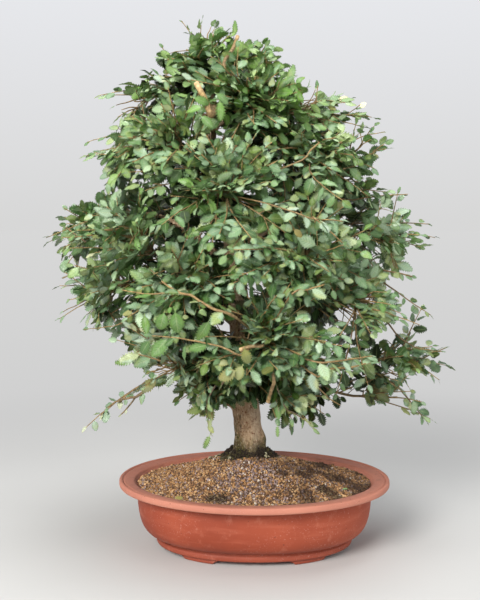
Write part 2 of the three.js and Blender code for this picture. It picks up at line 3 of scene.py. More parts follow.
import bpy
import numpy as np
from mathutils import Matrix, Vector


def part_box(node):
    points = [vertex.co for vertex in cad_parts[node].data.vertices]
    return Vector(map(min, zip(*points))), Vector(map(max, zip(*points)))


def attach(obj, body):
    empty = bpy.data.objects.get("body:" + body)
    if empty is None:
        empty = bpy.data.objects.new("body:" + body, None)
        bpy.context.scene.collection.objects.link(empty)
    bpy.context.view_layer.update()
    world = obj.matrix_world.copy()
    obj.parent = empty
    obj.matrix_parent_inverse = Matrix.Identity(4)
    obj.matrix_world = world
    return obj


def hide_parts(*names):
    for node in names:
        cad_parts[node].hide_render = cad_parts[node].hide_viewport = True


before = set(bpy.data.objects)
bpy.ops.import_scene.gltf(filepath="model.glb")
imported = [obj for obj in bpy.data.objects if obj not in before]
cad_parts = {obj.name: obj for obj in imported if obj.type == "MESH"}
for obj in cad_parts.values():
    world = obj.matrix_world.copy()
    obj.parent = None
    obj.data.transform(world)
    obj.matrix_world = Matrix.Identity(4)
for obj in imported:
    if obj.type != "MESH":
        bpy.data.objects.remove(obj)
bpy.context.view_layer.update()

# Lengths below are in millimetres from the middle of the pot on the floor, as in the part's source.
POT_LOW, POT_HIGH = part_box("pot")
MIDDLE = np.array([(POT_LOW[0] + POT_HIGH[0]) / 2, (POT_LOW[1] + POT_HIGH[1]) / 2, POT_LOW[2]])


def metres(points):
    return np.asarray(points, float) * 0.001 + MIDDLE


# Sizes shared with the solids: pot and soil
POT_STEP = 40.0
BASE_HALF_WIDTH = 127.5
FOOT_HEIGHT = 6.0
DRAIN_RADIUS = 10.0
DRAIN_OFFSET = 62.0
SOIL_EDGE = 81.0
SOIL_RISE = 33.0
SOIL_SPREAD = 95.0
TRUNK_X, TRUNK_Y = -6.6, 25.0

# Sizes shared with the solids: trunk rows of x, y, z and radius
TRUNK = [
    (-6.6, 25, 85, 25), (-6.6, 25, 112, 25.5), (-8.2, 25, 134, 19.4), (-11, 24, 173, 18.8),
    (-14, 22, 220, 17), (-16.5, 21, 268, 15), (-22, 20, 330, 12.4), (-30, 20, 390, 9.8),
    (-40, 20, 450, 7.4), (-52, 18, 510, 5.6), (-57, 18, 556, 4.6), (-55, 18, 582, 3.2),
]
FLARE_TOP, FLARE_LOBES, FLARE_DEPTH = 150.0, 5, 0.16

# Main branches: height on the trunk, azimuth, reach and height of the end
BRANCHES = [
    (172, 187, 92, 214), (182, 352, 98, 222), (200, 84, 82, 240), (216, 262, 84, 252), (238, 137, 98, 284),
    (254, 33, 98, 300), (283, 195, 104, 342), (296, 308, 92, 340), (322, 98, 86, 378), (352, 163, 96, 424),
    (372, 8, 98, 436), (396, 256, 80, 452), (428, 58, 74, 492), (452, 214, 66, 516), (486, 335, 62, 542),
    (508, 128, 46, 560), (534, 12, 50, 572), (548, 192, 42, 578), (566, 85, 9, 596),
]
ATTACH = [1, 0.76, 0.56, 0.4]
# Radius of a branch as a share of the trunk's, its most and least, and how it tapers
BRANCH_SHARE, BRANCH_MOST, BRANCH_TIP, BRANCH_TAPER = 0.62, 8.5, 2.6, 0.8
# Where along its reach a branch bends, how much of its rise it has there, and how far it wanders
BEND_AT, BEND_RISE, BEND_WANDER = 0.45, 0.72, 22.0

# The crown: reach to the left and right at each height, and its furthest tips
CROWN = [
    (150, -150, 165), (210, -193, 214), (300, -222, 204), (400, -230, 192), (500, -198, 155),
    (580, -164, 108), (640, -112, 36), (674, -76, -30),
]
CROWN_Y, CROWN_DEPTH, CROWN_BOTTOM, CROWN_TOP = 16.0, 0.88, 212, 668
# How far leaves spread at each height, to the left and right of the pot's middle
SPREAD = [
    (140, -88, 90), (160, -98, 150), (182, -112, 200), (203, -128, 218), (222, -150, 230), (242, -176, 240),
    (262, -222, 236), (282, -228, 200), (301, -246, 226), (321, -252, 204), (341, -247, 204),
    (360, -254, 196), (380, -264, 198), (399, -264, 222), (419, -244, 214), (438, -248, 202),
    (457, -212, 194), (476, -202, 162), (495, -206, 162), (514, -200, 165), (534, -196, 160),
    (552, -184, 148), (571, -180, 136), (590, -178, 90), (609, -144, 54), (628, -130, 36), (646, -112, 24),
    (665, -96, -40), (685, -84, -56),
]
# The underside of the leaves: height for each distance from the left to the right
UNDERSIDE = [
    (-240, 290), (-226, 272), (-190, 258), (-165, 228), (-147, 202), (-107, 206), (-94, 170), (-68, 150),
    (-46, 158), (-36, 190), (14, 194), (26, 160), (50, 154), (72, 150), (90, 162), (109, 186), (129, 198),
    (148, 186), (168, 186), (187, 196), (207, 184), (228, 196), (245, 238),
]
UNDERSIDE_RISE = 0.19
LEAF_INSET, LEAF_TOP, FADE_BEYOND = 0.965, 670.0, 40.0
FAR_TIPS = [
    (-216, -8, 168), (229, 4, 178), (249, 22, 246), (-254, 8, 306), (-266, 26, 408), (231, 14, 396),
    (-214, 14, 516), (164, 14, 530), (-188, 20, 590), (104, 16, 588), (-68, 15, 676), (22, 12, 648),
    (-64, -76, 192), (44, -80, 194),
]
BARE_TIP = 0
SEED = 3.1
SPRAYS_ROUND, SPRAY_APART, SPRAYS_FROM, GOLDEN = 28, 78.0, 90.0, 137.50776
# Stems: the middle that they fan out from, how far they stop short of the tip, and how they leave the branch
AIM_HEIGHT, AIM_SHARE, STEM_SHORT = 330.0, 0.45, 46.0
STEM_LEAST, TOO_CLOSE, STUB_ANGLE, STEM_CLEAR, STEM_GAP, STEM_BEND_AT = 50.0, 200.0, 42.0, 4.0, 0.35, 0.45
# Shoots on a stem: their number, lengths, places, opening angles and how much they vary, turn and sag
SHOOTS, SHOOT_LENGTHS, CORE_AT, CORE_BEYOND = 16, (72.0, 94.0), 0.66, 4.0
SHOOT_PLACES, SHOOT_OPEN, OPEN_VARIES, TURN_VARIES = (0.95, 0.34), (30, 78), 12.0, 50.0
SHOOT_LIFT, SHOOT_SAG, LEAF_SPREAD = 0.1, 0.16, 52.0

UP = np.array([0.0, 0.0, 1.0])


def draw(a, b):
    s = math.sin(a * 127.1 + b * 311.7 + SEED) * 43758.5453
    return s - math.floor(s)


def mix(a, b, t):
    return a + (b - a) * t


def clamp(x, a=0.0, b=1.0):
    return min(b, max(a, x))


def unit(v):
    v = np.asarray(v, float)
    return v / max(np.linalg.norm(v), 1e-12)


def units(v):
    return v / np.maximum(np.linalg.norm(v, axis=-1, keepdims=True), 1e-12)


def rise(values, start, width):
    """From 0 at the start to 1 a width further on; a width below 0 runs downwards."""
    return np.clip((values - start) / width, 0, 1)


def bell(values, middle, width):
    return np.exp(-(((values - middle) / width) ** 2))


def between(rows, key, value, column):
    i = 1
    while i < len(rows) - 1 and rows[i][key] < value:
        i += 1
    a, b = rows[i - 1], rows[i]
    t = clamp((value - a[key]) / (b[key] - a[key]))
    return mix(a[column], b[column], t)


def trunk_point(z):
    return np.array([between(TRUNK, 2, z, 0), between(TRUNK, 2, z, 1), z], float)


def trunk_radius(z):
    return between(TRUNK, 2, z, 3)


class Bend:
    """A quadratic Bezier curve."""

    def __init__(self, a, b, c):
        self.a, self.b, self.c = (np.asarray(p, float) for p in (a, b, c))

    def point(self, t):
        return (1 - t) ** 2 * self.a + 2 * (1 - t) * t * self.b + t * t * self.c

    def tangent(self, t):
        return unit(2 * (1 - t) * (self.b - self.a) + 2 * t * (self.c - self.b))


def azimuth(degrees):
    return np.array([math.cos(math.radians(degrees)), math.sin(math.radians(degrees)), 0.0])


def branch_path(m):
    start_height, turned, reach, height = BRANCHES[m]
    start = trunk_point(start_height)
    away = azimuth(turned)
    end = start + away * reach
    end[2] = height
    bend = start + away * reach * BEND_AT
    bend[2] = mix(start_height, height, BEND_RISE)
    bend += np.array([draw(m, 901) - 0.5, draw(m, 902) - 0.5, 0]) * BEND_WANDER
    return Bend(start, bend, end)


def branch_radius(m, t):
    foot = min(BRANCH_SHARE * trunk_radius(BRANCHES[m][0]), BRANCH_MOST)
    return mix(foot, BRANCH_TIP, t**BRANCH_TAPER)


PATHS = [branch_path(m) for m in range(len(BRANCHES))]


def crown_point(z, angle):
    left, right = between(CROWN, 0, z, 1), between(CROWN, 0, z, 2)
    half = (right - left) / 2
    x = (left + right) / 2 + half * math.cos(angle)
    return np.array([x, CROWN_Y + half * CROWN_DEPTH * math.sin(angle), z])


def outside(p):
    """How far beyond the crown a point is: up to 1 is inside."""
    left, right = between(SPREAD, 0, p[2], 1), between(SPREAD, 0, p[2], 2)
    half = (right - left) / 2 * LEAF_INSET
    e = math.hypot((p[0] - (left + right) / 2) / half, (p[1] - CROWN_Y) / (half * CROWN_DEPTH))
    under = between(UNDERSIDE, 0, p[0], 1) + UNDERSIDE_RISE * max(0.0, CROWN_Y - p[1])
    if p[2] < under:
        e = max(e, 1 + (under - p[2]) / FADE_BEYOND)
    if p[2] > LEAF_TOP:
        e = max(e, 1 + (p[2] - LEAF_TOP) / FADE_BEYOND)
    return e


def even_heights(count, step=2):
    """Heights that share out the side of the crown evenly."""
    sums = [0.0]
    for z in range(CROWN_BOTTOM, CROWN_TOP, step):
        here = crown_point(z, 0)[0] - crown_point(z, math.pi)[0]
        above = crown_point(z + step, 0)[0] - crown_point(z + step, math.pi)[0]
        sums.append(sums[-1] + here * math.hypot(step, (here - above) / 2))
    wanted = [(k + 0.5) / count * sums[-1] for k in range(count)]
    return [CROWN_BOTTOM + step * next(i for i, s in enumerate(sums) if s >= w) for w in wanted]


def spray_tips():
    tips = [np.array(p, float) for p in FAR_TIPS]
    for k, z in enumerate(even_heights(SPRAYS_ROUND)):
        tip = crown_point(z, math.radians(k * GOLDEN + SPRAYS_FROM))
        if all(np.linalg.norm(other - tip) > SPRAY_APART for other in tips):
            tips.append(tip)
    return tips


class Spray:
    """What is known of a spray: its number, tip, branch, stem and the way that it faces."""


def angle_of(a, b):
    return math.acos(clamp(float(unit(a) @ unit(b)), -1, 1))


def plan_sprays():
    """Gives each spray the nearest free place on a branch and a stem from there."""
    plans = []
    for k, tip in enumerate(spray_tips()):
        p = Spray()
        p.k, p.tip, p.bare, p.branch = k, tip, k == BARE_TIP, None
        z = mix(AIM_HEIGHT, tip[2], AIM_SHARE)
        p.outward = unit(tip - np.array([between(TRUNK, 2, z, 0), CROWN_Y, z]))
        p.end = tip - STEM_SHORT * p.outward
        plans.append(p)
    wishes = []
    for p in plans:
        for m, path in enumerate(PATHS):
            far = np.linalg.norm(path.point(1) - p.end)
            wishes.append((far + TOO_CLOSE if far < STEM_LEAST else far, p, m))
    wishes.sort(key=lambda w: w[0])
    taken = [0] * len(BRANCHES)
    for _, p, m in wishes:
        if p.branch is None and taken[m] < len(ATTACH):
            p.branch = m
            taken[m] += 1
    for m, path in enumerate(PATHS):
        along = path.tangent(1)
        mine = [p for p in plans if p.branch == m]
        mine.sort(key=lambda p: -float(unit(p.end - path.point(1)) @ along))
        for i, p in enumerate(mine):
            p.t = ATTACH[i]
            p.root = path.point(p.t)
            heading, reach = path.tangent(p.t), 0.0
            if i:
                aside = unit(p.end - p.root)
                angle = max(angle_of(heading, aside), math.radians(STUB_ANGLE))
                aside = unit(aside - (aside @ heading) * heading)
                heading = heading * math.cos(angle) + aside * math.sin(angle)
                reach = (branch_radius(m, p.t) + STEM_CLEAR) / math.sin(angle)
            start = p.root + heading * (reach + STEM_GAP)
            length = np.linalg.norm(start - p.end)
            p.stem = Bend(start, start + heading * length * STEM_BEND_AT, p.end)
    return plans


PLANS = plan_sprays()


class Shoot:
    """A leafy twig that sags a little, given by its foot, its heading and the way its upper side faces."""

    def __init__(self, at, heading, faces, length, sag=SHOOT_SAG):
        self.at, self.length, self.sag = at, length, sag
        self.heading = unit(heading)
        self.faces = unit(faces - (faces @ self.heading) * self.heading)
        self.across = np.cross(self.faces, self.heading)

    def point(self, a):
        p = self.at + self.heading * a
        p[2] -= self.sag * a * a / self.length
        return p

    def tangent(self, a):
        d = self.heading.copy()
        d[2] -= 2 * self.sag * a / self.length
        return unit(d)


def shoot_of(p, j):
    """Shoot number j of a spray, as in the solids; the first runs to the tip."""
    k = p.k
    ident = k * 40 + j
    back = (j - 1) / (SHOOTS - 2)
    t = mix(*SHOOT_PLACES, back) if j else CORE_AT
    at, along = p.stem.point(t), p.stem.tangent(t)
    side = unit(np.cross(UP, along))
    lift = np.cross(along, side)
    turn = math.radians(j * GOLDEN + TURN_VARIES * draw(ident, 1) + 360 * draw(k, 7))
    opened = math.radians(mix(*SHOOT_OPEN, back) + OPEN_VARIES * (draw(ident, 2) - 0.5))
    heading = along * math.cos(opened)
    heading = heading + side * math.cos(turn) * math.sin(opened) + lift * math.sin(turn) * math.sin(opened)
    heading[2] += SHOOT_LIFT
    if not j:
        heading = p.tip - at
    length = mix(*SHOOT_LENGTHS, draw(ident, 3)) if j else np.linalg.norm(heading) + CORE_BEYOND
    faces = UP * 0.45 + p.outward * 0.6
    faces = faces + np.array([draw(ident, 4) - 0.5, draw(ident, 5) - 0.5, 0]) * 0.6
    return Shoot(at, heading, faces, length)


# Noise for shapes: smooth values from 0 to 1 between the points of a hashed grid
def lattice(i, j, k, seed):
    """The value of one corner of the grid."""
    h = (i * 374761393 + j * 668265263 + k * 1440662683 + seed * 1274126177) & 0xFFFFFFFF
    h = ((h ^ (h >> 13)) * 1274126177) & 0xFFFFFFFF
    h = ((h ^ (h >> 15)) * 2246822519) & 0xFFFFFFFF
    return ((h ^ (h >> 16)) & 0xFFFFFF) / float(0xFFFFFF)


def noise(points, seed=0):
    p = np.asarray(points, float)
    base = np.floor(p).astype(np.int64)
    f = p - base
    f = f * f * (3 - 2 * f)
    total = 0.0
    for dx in (0, 1):
        for dy in (0, 1):
            for dz in (0, 1):
                w = (f[:, 0] if dx else 1 - f[:, 0]) * (f[:, 1] if dy else 1 - f[:, 1])
                w = w * (f[:, 2] if dz else 1 - f[:, 2])
                total = total + w * lattice(base[:, 0] + dx, base[:, 1] + dy, base[:, 2] + dz, seed)
    return total


def layers(points, count=3, seed=0):
    """Noise in several sizes, each half as strong and about twice as fine."""
    total, weight, size = 0.0, 0.0, 1.0
    for n in range(count):
        share = 0.5**n
        total = total + share * noise(np.asarray(points) * size, seed + n)
        weight += share
        size *= 2.03
    return total / weight


# Meshes
def point_data(me, **layers_by_name):
    for key, values in layers_by_name.items():
        me.attributes.new(key, "FLOAT", "POINT").data.foreach_set("value", np.asarray(values, np.float32))


def place_mesh(name, me, material):
    """Puts a mesh in the scene under a name, with one material."""
    me.name = name
    me.materials.clear()
    if material:
        me.materials.append(material)
    ob = bpy.data.objects.new(name, me)
    bpy.context.scene.collection.objects.link(ob)
    return ob


def new_mesh(name, verts, faces, material, data=None, uv=None, smooth=True):
    """A mesh from points in millimetres and a list of index arrays, each of triangles or quads."""
    me = bpy.data.meshes.new(name)
    co = metres(verts).astype(np.float32)
    me.vertices.add(len(co))
    me.vertices.foreach_set("co", co.ravel())
    faces = [np.asarray(f, np.int32) for f in faces if len(f)]
    index = np.concatenate([f.ravel() for f in faces])
    sizes = np.concatenate([np.full(len(f), f.shape[1], np.int32) for f in faces])
    starts = np.concatenate([[0], np.cumsum(sizes)[:-1]]).astype(np.int32)
    me.loops.add(len(index))
    me.loops.foreach_set("vertex_index", index)
    me.polygons.add(len(sizes))
    me.polygons.foreach_set("loop_start", starts)
    me.update(calc_edges=True)
    me.polygons.foreach_set("use_smooth", np.full(len(sizes), smooth))
    point_data(me, **(data or {}))
    if uv is not None:
        layer = me.uv_layers.new(name="OFBake")
        layer.uv.foreach_set("vector", np.asarray(uv, np.float32)[index].ravel())
    me.validate()
    me.update()
    return place_mesh(name, me, material)


def read_points(me, what="co"):
    """The points of a mesh, or their normals."""
    found = np.empty(len(me.vertices) * 3, np.float32)
    me.vertices.foreach_get(what, found)
    return found.reshape(-1, 3).astype(float)


def applied(ob):
    """The mesh of an object with its modifiers applied."""
    return bpy.data.meshes.new_from_object(ob.evaluated_get(bpy.context.evaluated_depsgraph_get()))


def ring_faces(rows, n):
    """Quads between rows of n points each, round and round."""
    i = np.arange(rows - 1)[:, None] * n
    k = np.arange(n)[None, :]
    after = (k + 1) % n
    return np.stack([i + k, i + after, i + n + after, i + n + k], -1).reshape(-1, 4)


def cap_faces(rows, n):
    """Triangles that close the first and the last row to the two points that follow them all."""
    k = np.arange(n)
    after = (k + 1) % n
    last = (rows - 1) * n
    first_cap = np.stack([np.full(n, rows * n), after, k], -1)
    return np.concatenate([first_cap, np.stack([np.full(n, rows * n + 1), last + k, last + after], -1)])


def closed_rings(rings):
    """Points and faces of a closed skin over rings of equally many points."""
    rows, n = len(rings), len(rings[0])
    verts = np.concatenate([*rings, [rings[0].mean(0), rings[-1].mean(0)]])
    return verts, ring_faces(rows, n), cap_faces(rows, n)


def copies(shape, faces, points):
    """Faces for so many copies of one shape."""
    count = len(points)
    return (faces[None] + (np.arange(count) * len(shape))[:, None, None]).reshape(-1, 3)


def belongs(ob, slot, *nodes):
    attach(ob, "root")
    if nodes:
        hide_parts(*nodes)
    return ob


def frames_along(points):
    """Directions along a row of points, with two directions across that don't twist."""
    pts = np.asarray(points, float)
    along = np.empty_like(pts)
    along[1:-1] = pts[2:] - pts[:-2]
    along[0], along[-1] = pts[1] - pts[0], pts[-1] - pts[-2]
    along = units(along)
    first = np.array([0.31, 0.23, 1.0])
    if abs(unit(first) @ along[0]) > 0.95:
        first = np.array([1.0, 0.2, 0.1])
    side = np.empty_like(pts)
    for i, d in enumerate(along):
        first = first - (first @ d) * d
        first = unit(first)
        side[i] = first
    return along, side, np.cross(along, side)


class Tubes:
    """Collects round tubes into one mesh."""

    def __init__(self):
        self.verts, self.quads, self.tris, self.uv, self.data = [], [], [], [], {}
        self.count = 0
        self.tubes = 0

    def add(self, points, radii, sides=6, **data):
        pts = np.asarray(points, float)
        radii = np.asarray(radii, float)
        n = len(pts)
        _, a, b = frames_along(pts)
        turn = np.arange(sides) / sides * 2 * np.pi
        ring = np.cos(turn)[None, :, None] * a[:, None, :] + np.sin(turn)[None, :, None] * b[:, None, :]
        body = (pts[:, None, :] + ring * radii[:, None, None]).reshape(-1, 3)
        tip = pts[-1] + unit(pts[-1] - pts[-2]) * radii[-1] * 0.5
        self.verts.append(np.concatenate([body, [pts[0], tip]]))
        self.quads.append(ring_faces(n, sides) + self.count)
        self.tris.append(cap_faces(n, sides) + self.count)
        # Each tube has its own column of the baked picture, and its two sides share it
        v = np.repeat(np.linspace(0.02, 0.98, n), sides)
        u = np.tile(np.abs(np.arange(sides) / sides * 2 - 1) * 0.8 + 0.1, n)
        ends = [[self.tubes + 0.5, 0.01], [self.tubes + 0.5, 0.99]]
        self.uv.append(np.concatenate([np.stack([u + self.tubes, v], -1), ends]))
        for key, value in data.items():
            value = np.broadcast_to(np.asarray(value, float), n)
            self.data.setdefault(key, []).append(np.concatenate([np.repeat(value, sides), value[[0, -1]]]))
        self.count += n * sides + 2
        self.tubes += 1

    def build(self, name, material):
        uv = np.concatenate(self.uv)
        uv[:, 0] /= self.tubes
        data = {key: np.concatenate(v) for key, v in self.data.items()}
        faces = [np.concatenate(self.quads), np.concatenate(self.tris)]
        return new_mesh(name, np.concatenate(self.verts), faces, material, data, uv)


# Materials
def rgb(*colour):
    """A colour as the eye names it, from 0 to 255, as light."""
    shares = [c / 255 for c in colour]
    return tuple(c / 12.92 if c <= 0.04045 else ((c + 0.055) / 1.055) ** 2.4 for c in shares)


def shades(*stops):
    """Places on a ramp with their colours, each given as place, red, green and blue."""
    return [(place, rgb(*colour)) for place, *colour in stops]


class Graph:
    """The shader nodes of a material or of the world."""

    def __init__(self, owner, output="OutputMaterial"):
        owner.use_nodes = True
        self.owner, self.tree = owner, owner.node_tree
        self.tree.nodes.clear()
        self.out = self.add(output)
        self.places = self.add("TexCoord").outputs
        self.where = self.places["Object"]

    def add(self, kind, inputs=None, **settings):
        node = self.tree.nodes.new("ShaderNode" + kind)
        for key, value in settings.items():
            setattr(node, key, value)
        for key, value in (inputs or {}).items():
            self.put(node.inputs[key], value)
        return node

    def put(self, socket, value):
        if isinstance(value, bpy.types.NodeSocket):
            self.tree.links.new(value, socket)
        else:
            if socket.type == "RGBA" and len(value) == 3:
                value = (*value, 1.0)
            socket.default_value = value

    def math(self, operation, a, b=0.0, clamped=False):
        return self.add("Math", {0: a, 1: b}, operation=operation, use_clamp=clamped).outputs[0]

    def times(self, first, *others, clamped=False):
        for value in others:
            first = self.math("MULTIPLY", first, value, clamped)
        return first

    def sum(self, a, share_a, b, share_b):
        return self.math("ADD", self.times(a, share_a), self.times(b, share_b))

    def attribute(self, name):
        return self.add("Attribute", attribute_name=name).outputs["Fac"]

    def noise(self, scale, detail=3.0, rough=0.5, warp=0.0, stretch=None):
        """Noise over the object, stretched where the scales along its axes differ."""
        where = self.where
        if stretch:
            where = self.add("Mapping", {"Vector": where, "Scale": stretch}).outputs[0]
        inputs = {"Vector": where, "Scale": scale, "Detail": detail, "Roughness": rough, "Distortion": warp}
        return self.add("TexNoise", inputs).outputs["Fac"]

    def remap(self, value, a, b, c=0.0, d=1.0, way="LINEAR"):
        inputs = {"Value": value, "From Min": a, "From Max": b, "To Min": c, "To Max": d}
        return self.add("MapRange", inputs, interpolation_type=way).outputs[0]

    def blend(self, share, a, b, mode="MIX"):
        return self.add("Mix", {0: share, 6: a, 7: b}, data_type="RGBA", blend_type=mode).outputs[2]

    def over(self, under, colour, *shares, clamped=False):
        """Lays a colour over another by the product of its shares."""
        return self.blend(self.times(*shares, clamped=clamped), under, colour)

    def ramp(self, value, stops, mode="LINEAR"):
        node = self.add("ValToRGB", {"Fac": value})
        ramp = node.color_ramp
        ramp.interpolation = mode
        while len(ramp.elements) < len(stops):
            ramp.elements.new(0.5)
        for element, (place, colour) in zip(ramp.elements, stops):
            element.position = place
            element.color = (*colour, 1.0)
        return node.outputs["Color"]

    def bump(self, height, strength, distance):
        """Small relief, with its depth in metres."""
        inputs = {"Height": height, "Strength": strength, "Distance": distance}
        return {"Normal": self.add("Bump", inputs).outputs[0]}

    def finish(self, colour, roughness, **others):
        shader = self.add("BsdfPrincipled", {"Base Color": colour, "Roughness": roughness, **others})
        self.tree.links.new(shader.outputs[0], self.out.inputs[0])
        return self.owner


def new_graph(name):
    return Graph(bpy.data.materials.new(name))


COOL_LEAF = shades((0.0, 24, 35, 11), (0.22, 66, 102, 56), (0.55, 119, 151, 117), (1.0, 170, 188, 170))
WARM_LEAF = shades((0.0, 27, 34, 6), (0.22, 84, 103, 36), (0.55, 140, 153, 90), (1.0, 182, 188, 144))
FRESH_LEAF = shades((0.0, 46, 76, 18), (0.45, 106, 150, 56), (1.0, 152, 184, 106))
DRY_AND_BACKLIT_LEAF = shades((0.0, 100, 86, 34), (0.45, 146, 134, 72), (0.7, 190, 176, 110), (1.0, 224, 218, 174))
# Painted sheen: the first two colours are pale light laid over the lit leaves, by the rib and in mottled
# patches
PAINTED_SHEEN, MOTTLED_SHEEN, SIDE_VEIN, RIB, LEAF_EDGE = (
    rgb(184, 192, 178), rgb(138, 154, 118), rgb(54, 84, 34), rgb(160, 174, 118), rgb(58, 76, 36)
)
VEINS_APART, VEIN_SLANT = 46.0, 0.2


def leaf_material():
    """Waxy green blades with veins and mottling, and a pale sheen painted on; lu runs along a blade and lv
    across it.
    """
    g = new_graph("leaf")
    tone = g.attribute("tone")
    from_rib = g.math("ABSOLUTE", g.attribute("lv"))
    mature = g.blend(g.remap(g.noise(48.0, 1.0), 0.53, 0.6), g.ramp(tone, COOL_LEAF), g.ramp(tone, WARM_LEAF))
    colour = g.blend(g.attribute("age"), mature, g.ramp(tone, FRESH_LEAF))
    mottle = g.noise(420.0, 3.0, 0.6)
    lit = g.remap(tone, 0.1, 0.5)
    patches = g.remap(g.noise(130.0, 2.0), 0.42, 0.66)
    # Painted sheen: pale by the rib and in patches, then in mottled patches, on the lit leaves
    colour = g.over(colour, PAINTED_SHEEN, g.remap(from_rib, 0.9, 0.15), patches, lit, 0.34)
    colour = g.over(colour, MOTTLED_SHEEN, lit, g.remap(mottle, 0.42, 0.75, 0.0, 0.3))
    along_vein = g.math("SUBTRACT", g.attribute("lu"), g.times(from_rib, VEIN_SLANT))
    stripes = g.math("SINE", g.times(along_vein, VEINS_APART))
    side_veins = g.times(g.remap(stripes, 0.72, 1.0), g.remap(from_rib, 0.95, 0.5))
    rib = g.remap(from_rib, 0.1, 0.02)
    colour = g.over(colour, SIDE_VEIN, side_veins, 0.5)
    colour = g.over(colour, RIB, rib, 0.5)
    colour = g.over(colour, LEAF_EDGE, g.remap(from_rib, 0.8, 1.02), 0.45)
    # Dry leaves, and the low leaves painted olive as light through them
    colour = g.blend(g.attribute("dry"), colour, g.ramp(tone, DRY_AND_BACKLIT_LEAF))
    veins = g.math("MAXIMUM", g.times(side_veins, 0.6), rib)
    height = g.math("SUBTRACT", g.times(mottle, 0.25), g.times(veins, 0.8))
    rough = g.remap(mottle, 0.3, 0.8, 0.33, 0.47)
    return g.finish(colour, rough, **g.bump(height, 0.5, 0.0004), **{"Specular IOR Level": 0.55})


OLD_TWIG = shades((0.3, 66, 54, 40), (0.55, 104, 88, 68), (0.75, 142, 126, 102))
YOUNG_TWIG = shades((0.3, 104, 84, 50), (0.55, 152, 124, 76), (0.75, 196, 166, 112))
CUT_WOOD = shades((0.3, 164, 132, 88), (0.75, 214, 186, 138))


def twig_material():
    """Grey old bark up to 0, tan young bark at 1, and pale cut wood from 1.6."""
    g = new_graph("twig")
    young = g.attribute("young")
    n = g.noise(260.0, 4.0, 0.65)
    colour = g.blend(young, g.ramp(n, OLD_TWIG), g.ramp(n, YOUNG_TWIG))
    colour = g.blend(g.remap(young, 1.2, 1.6), colour, g.ramp(n, CUT_WOOD))
    return g.finish(colour, 0.7, **g.bump(g.noise(900.0, 2.0), 0.5, 0.0003))


BARK_GRAIN = shades((0.34, 100, 72, 46), (0.44, 150, 120, 88), (0.55, 182, 154, 122), (0.68, 212, 194, 168))
TRUNK_MOSS = shades((0.3, 38, 34, 14), (0.52, 86, 76, 36), (0.72, 146, 134, 80))
PALE_STREAK, FLECK, FURROW = rgb(196, 176, 150), rgb(112, 62, 38), rgb(62, 44, 26)
RIDGE, SOOT, LICHEN = rgb(196, 178, 152), rgb(34, 26, 16), rgb(190, 190, 164)


def bark_material():
    """Flaking tan bark with dark furrows, and moss, soot and lichen near the soil."""
    g = new_graph("bark")
    relief = g.attribute("relief")
    tall = (1.0, 1.0, 0.6)
    coarse = g.noise(260.0, 5.0, 0.7, 0.3, tall)
    fine = g.noise(700.0, 4.0, 0.62, 0.0, tall)
    colour = g.ramp(g.sum(coarse, 0.6, fine, 0.4), BARK_GRAIN)
    colour = g.over(colour, PALE_STREAK, g.attribute("pale"), g.remap(fine, 0.35, 0.6, 0.4, 1.0), 0.7)
    flecks = g.noise(380.0, 1.5, 0.5, 0.0, (1.0, 1.0, 0.7))
    colour = g.over(colour, FLECK, g.remap(flecks, 0.6, 0.65), 0.85)
    colour = g.blend(g.remap(relief, 0.34, 0.04, 0.0, 0.8), colour, FURROW)
    colour = g.blend(g.remap(relief, 0.6, 0.95, 0.0, 0.3), colour, RIDGE)
    spots = g.noise(190.0, 4.0, 0.65)
    cover = g.times(g.attribute("moss"), g.remap(spots, 0.36, 0.5), clamped=True)
    colour = g.blend(cover, colour, g.ramp(fine, TRUNK_MOSS))
    dark = g.times(g.attribute("dark"), g.remap(spots, 0.64, 0.42), clamped=True)
    colour = g.over(colour, SOOT, dark, 0.92)
    pale_spots = g.remap(g.noise(260.0, 2.0), 0.56, 0.6)
    colour = g.over(colour, LICHEN, g.attribute("lichen"), pale_spots, clamped=True)
    return g.finish(colour, 0.86, **g.bump(g.sum(coarse, 0.7, fine, 0.5), 0.9, 0.0012))


CLAY_BODY = shades((0.3, 131, 51, 25), (0.5, 146, 61, 34), (0.7, 161, 74, 46))
CLAY_RIM = shades((0.3, 166, 102, 82), (0.7, 190, 124, 102))
CLAY_STREAK, CLAY_FOOT, GRIME = rgb(188, 104, 78), rgb(142, 66, 46), rgb(110, 70, 54)
SCUFF, CHALK, CLAY_SPECK = rgb(204, 158, 146), rgb(196, 128, 104), rgb(60, 30, 22)


def clay_material():
    """Unglazed red clay: paler on the rim, chalky in patches, scuffed, and grimy inside."""
    g = new_graph("clay")
    low = g.attribute("low")
    broad = g.noise(9.0, 3.0, 0.55)
    streaks = g.noise(16.0, 3.0, 0.6, 0.0, (1.0, 1.0, 7.0))
    body = g.blend(g.remap(streaks, 0.5, 0.7, 0.0, 0.3), g.ramp(broad, CLAY_BODY), CLAY_STREAK)
    colour = g.blend(g.attribute("rim"), body, g.ramp(broad, CLAY_RIM))
    colour = g.over(colour, CLAY_FOOT, low, 0.55)
    colour = g.over(colour, GRIME, g.remap(g.noise(34.0, 4.0, 0.65), 0.52, 0.7), g.attribute("inner"), 0.6)
    scuffs = g.remap(g.noise(470.0, 3.0, 0.65), 0.61, 0.67)
    scuffed = g.remap(g.math("ADD", g.noise(14.0, 2.0), g.times(low, 0.08)), 0.44, 0.62)
    colour = g.over(colour, SCUFF, scuffs, scuffed, 0.42)
    chalk = g.noise(85.0, 5.0, 0.7, 0.0, (1.0, 1.0, 0.6))
    colour = g.blend(g.remap(chalk, 0.56, 0.72, 0.0, 0.3), colour, CHALK)
    colour = g.over(colour, CLAY_SPECK, g.remap(g.noise(380.0, 1.0), 0.75, 0.78), 0.8)
    height = g.sum(g.noise(900.0, 3.0, 0.7), 0.5, streaks, 0.4)
    return g.finish(colour, g.remap(broad, 0.3, 0.7, 0.6, 0.78), **g.bump(height, 0.35, 0.0006))


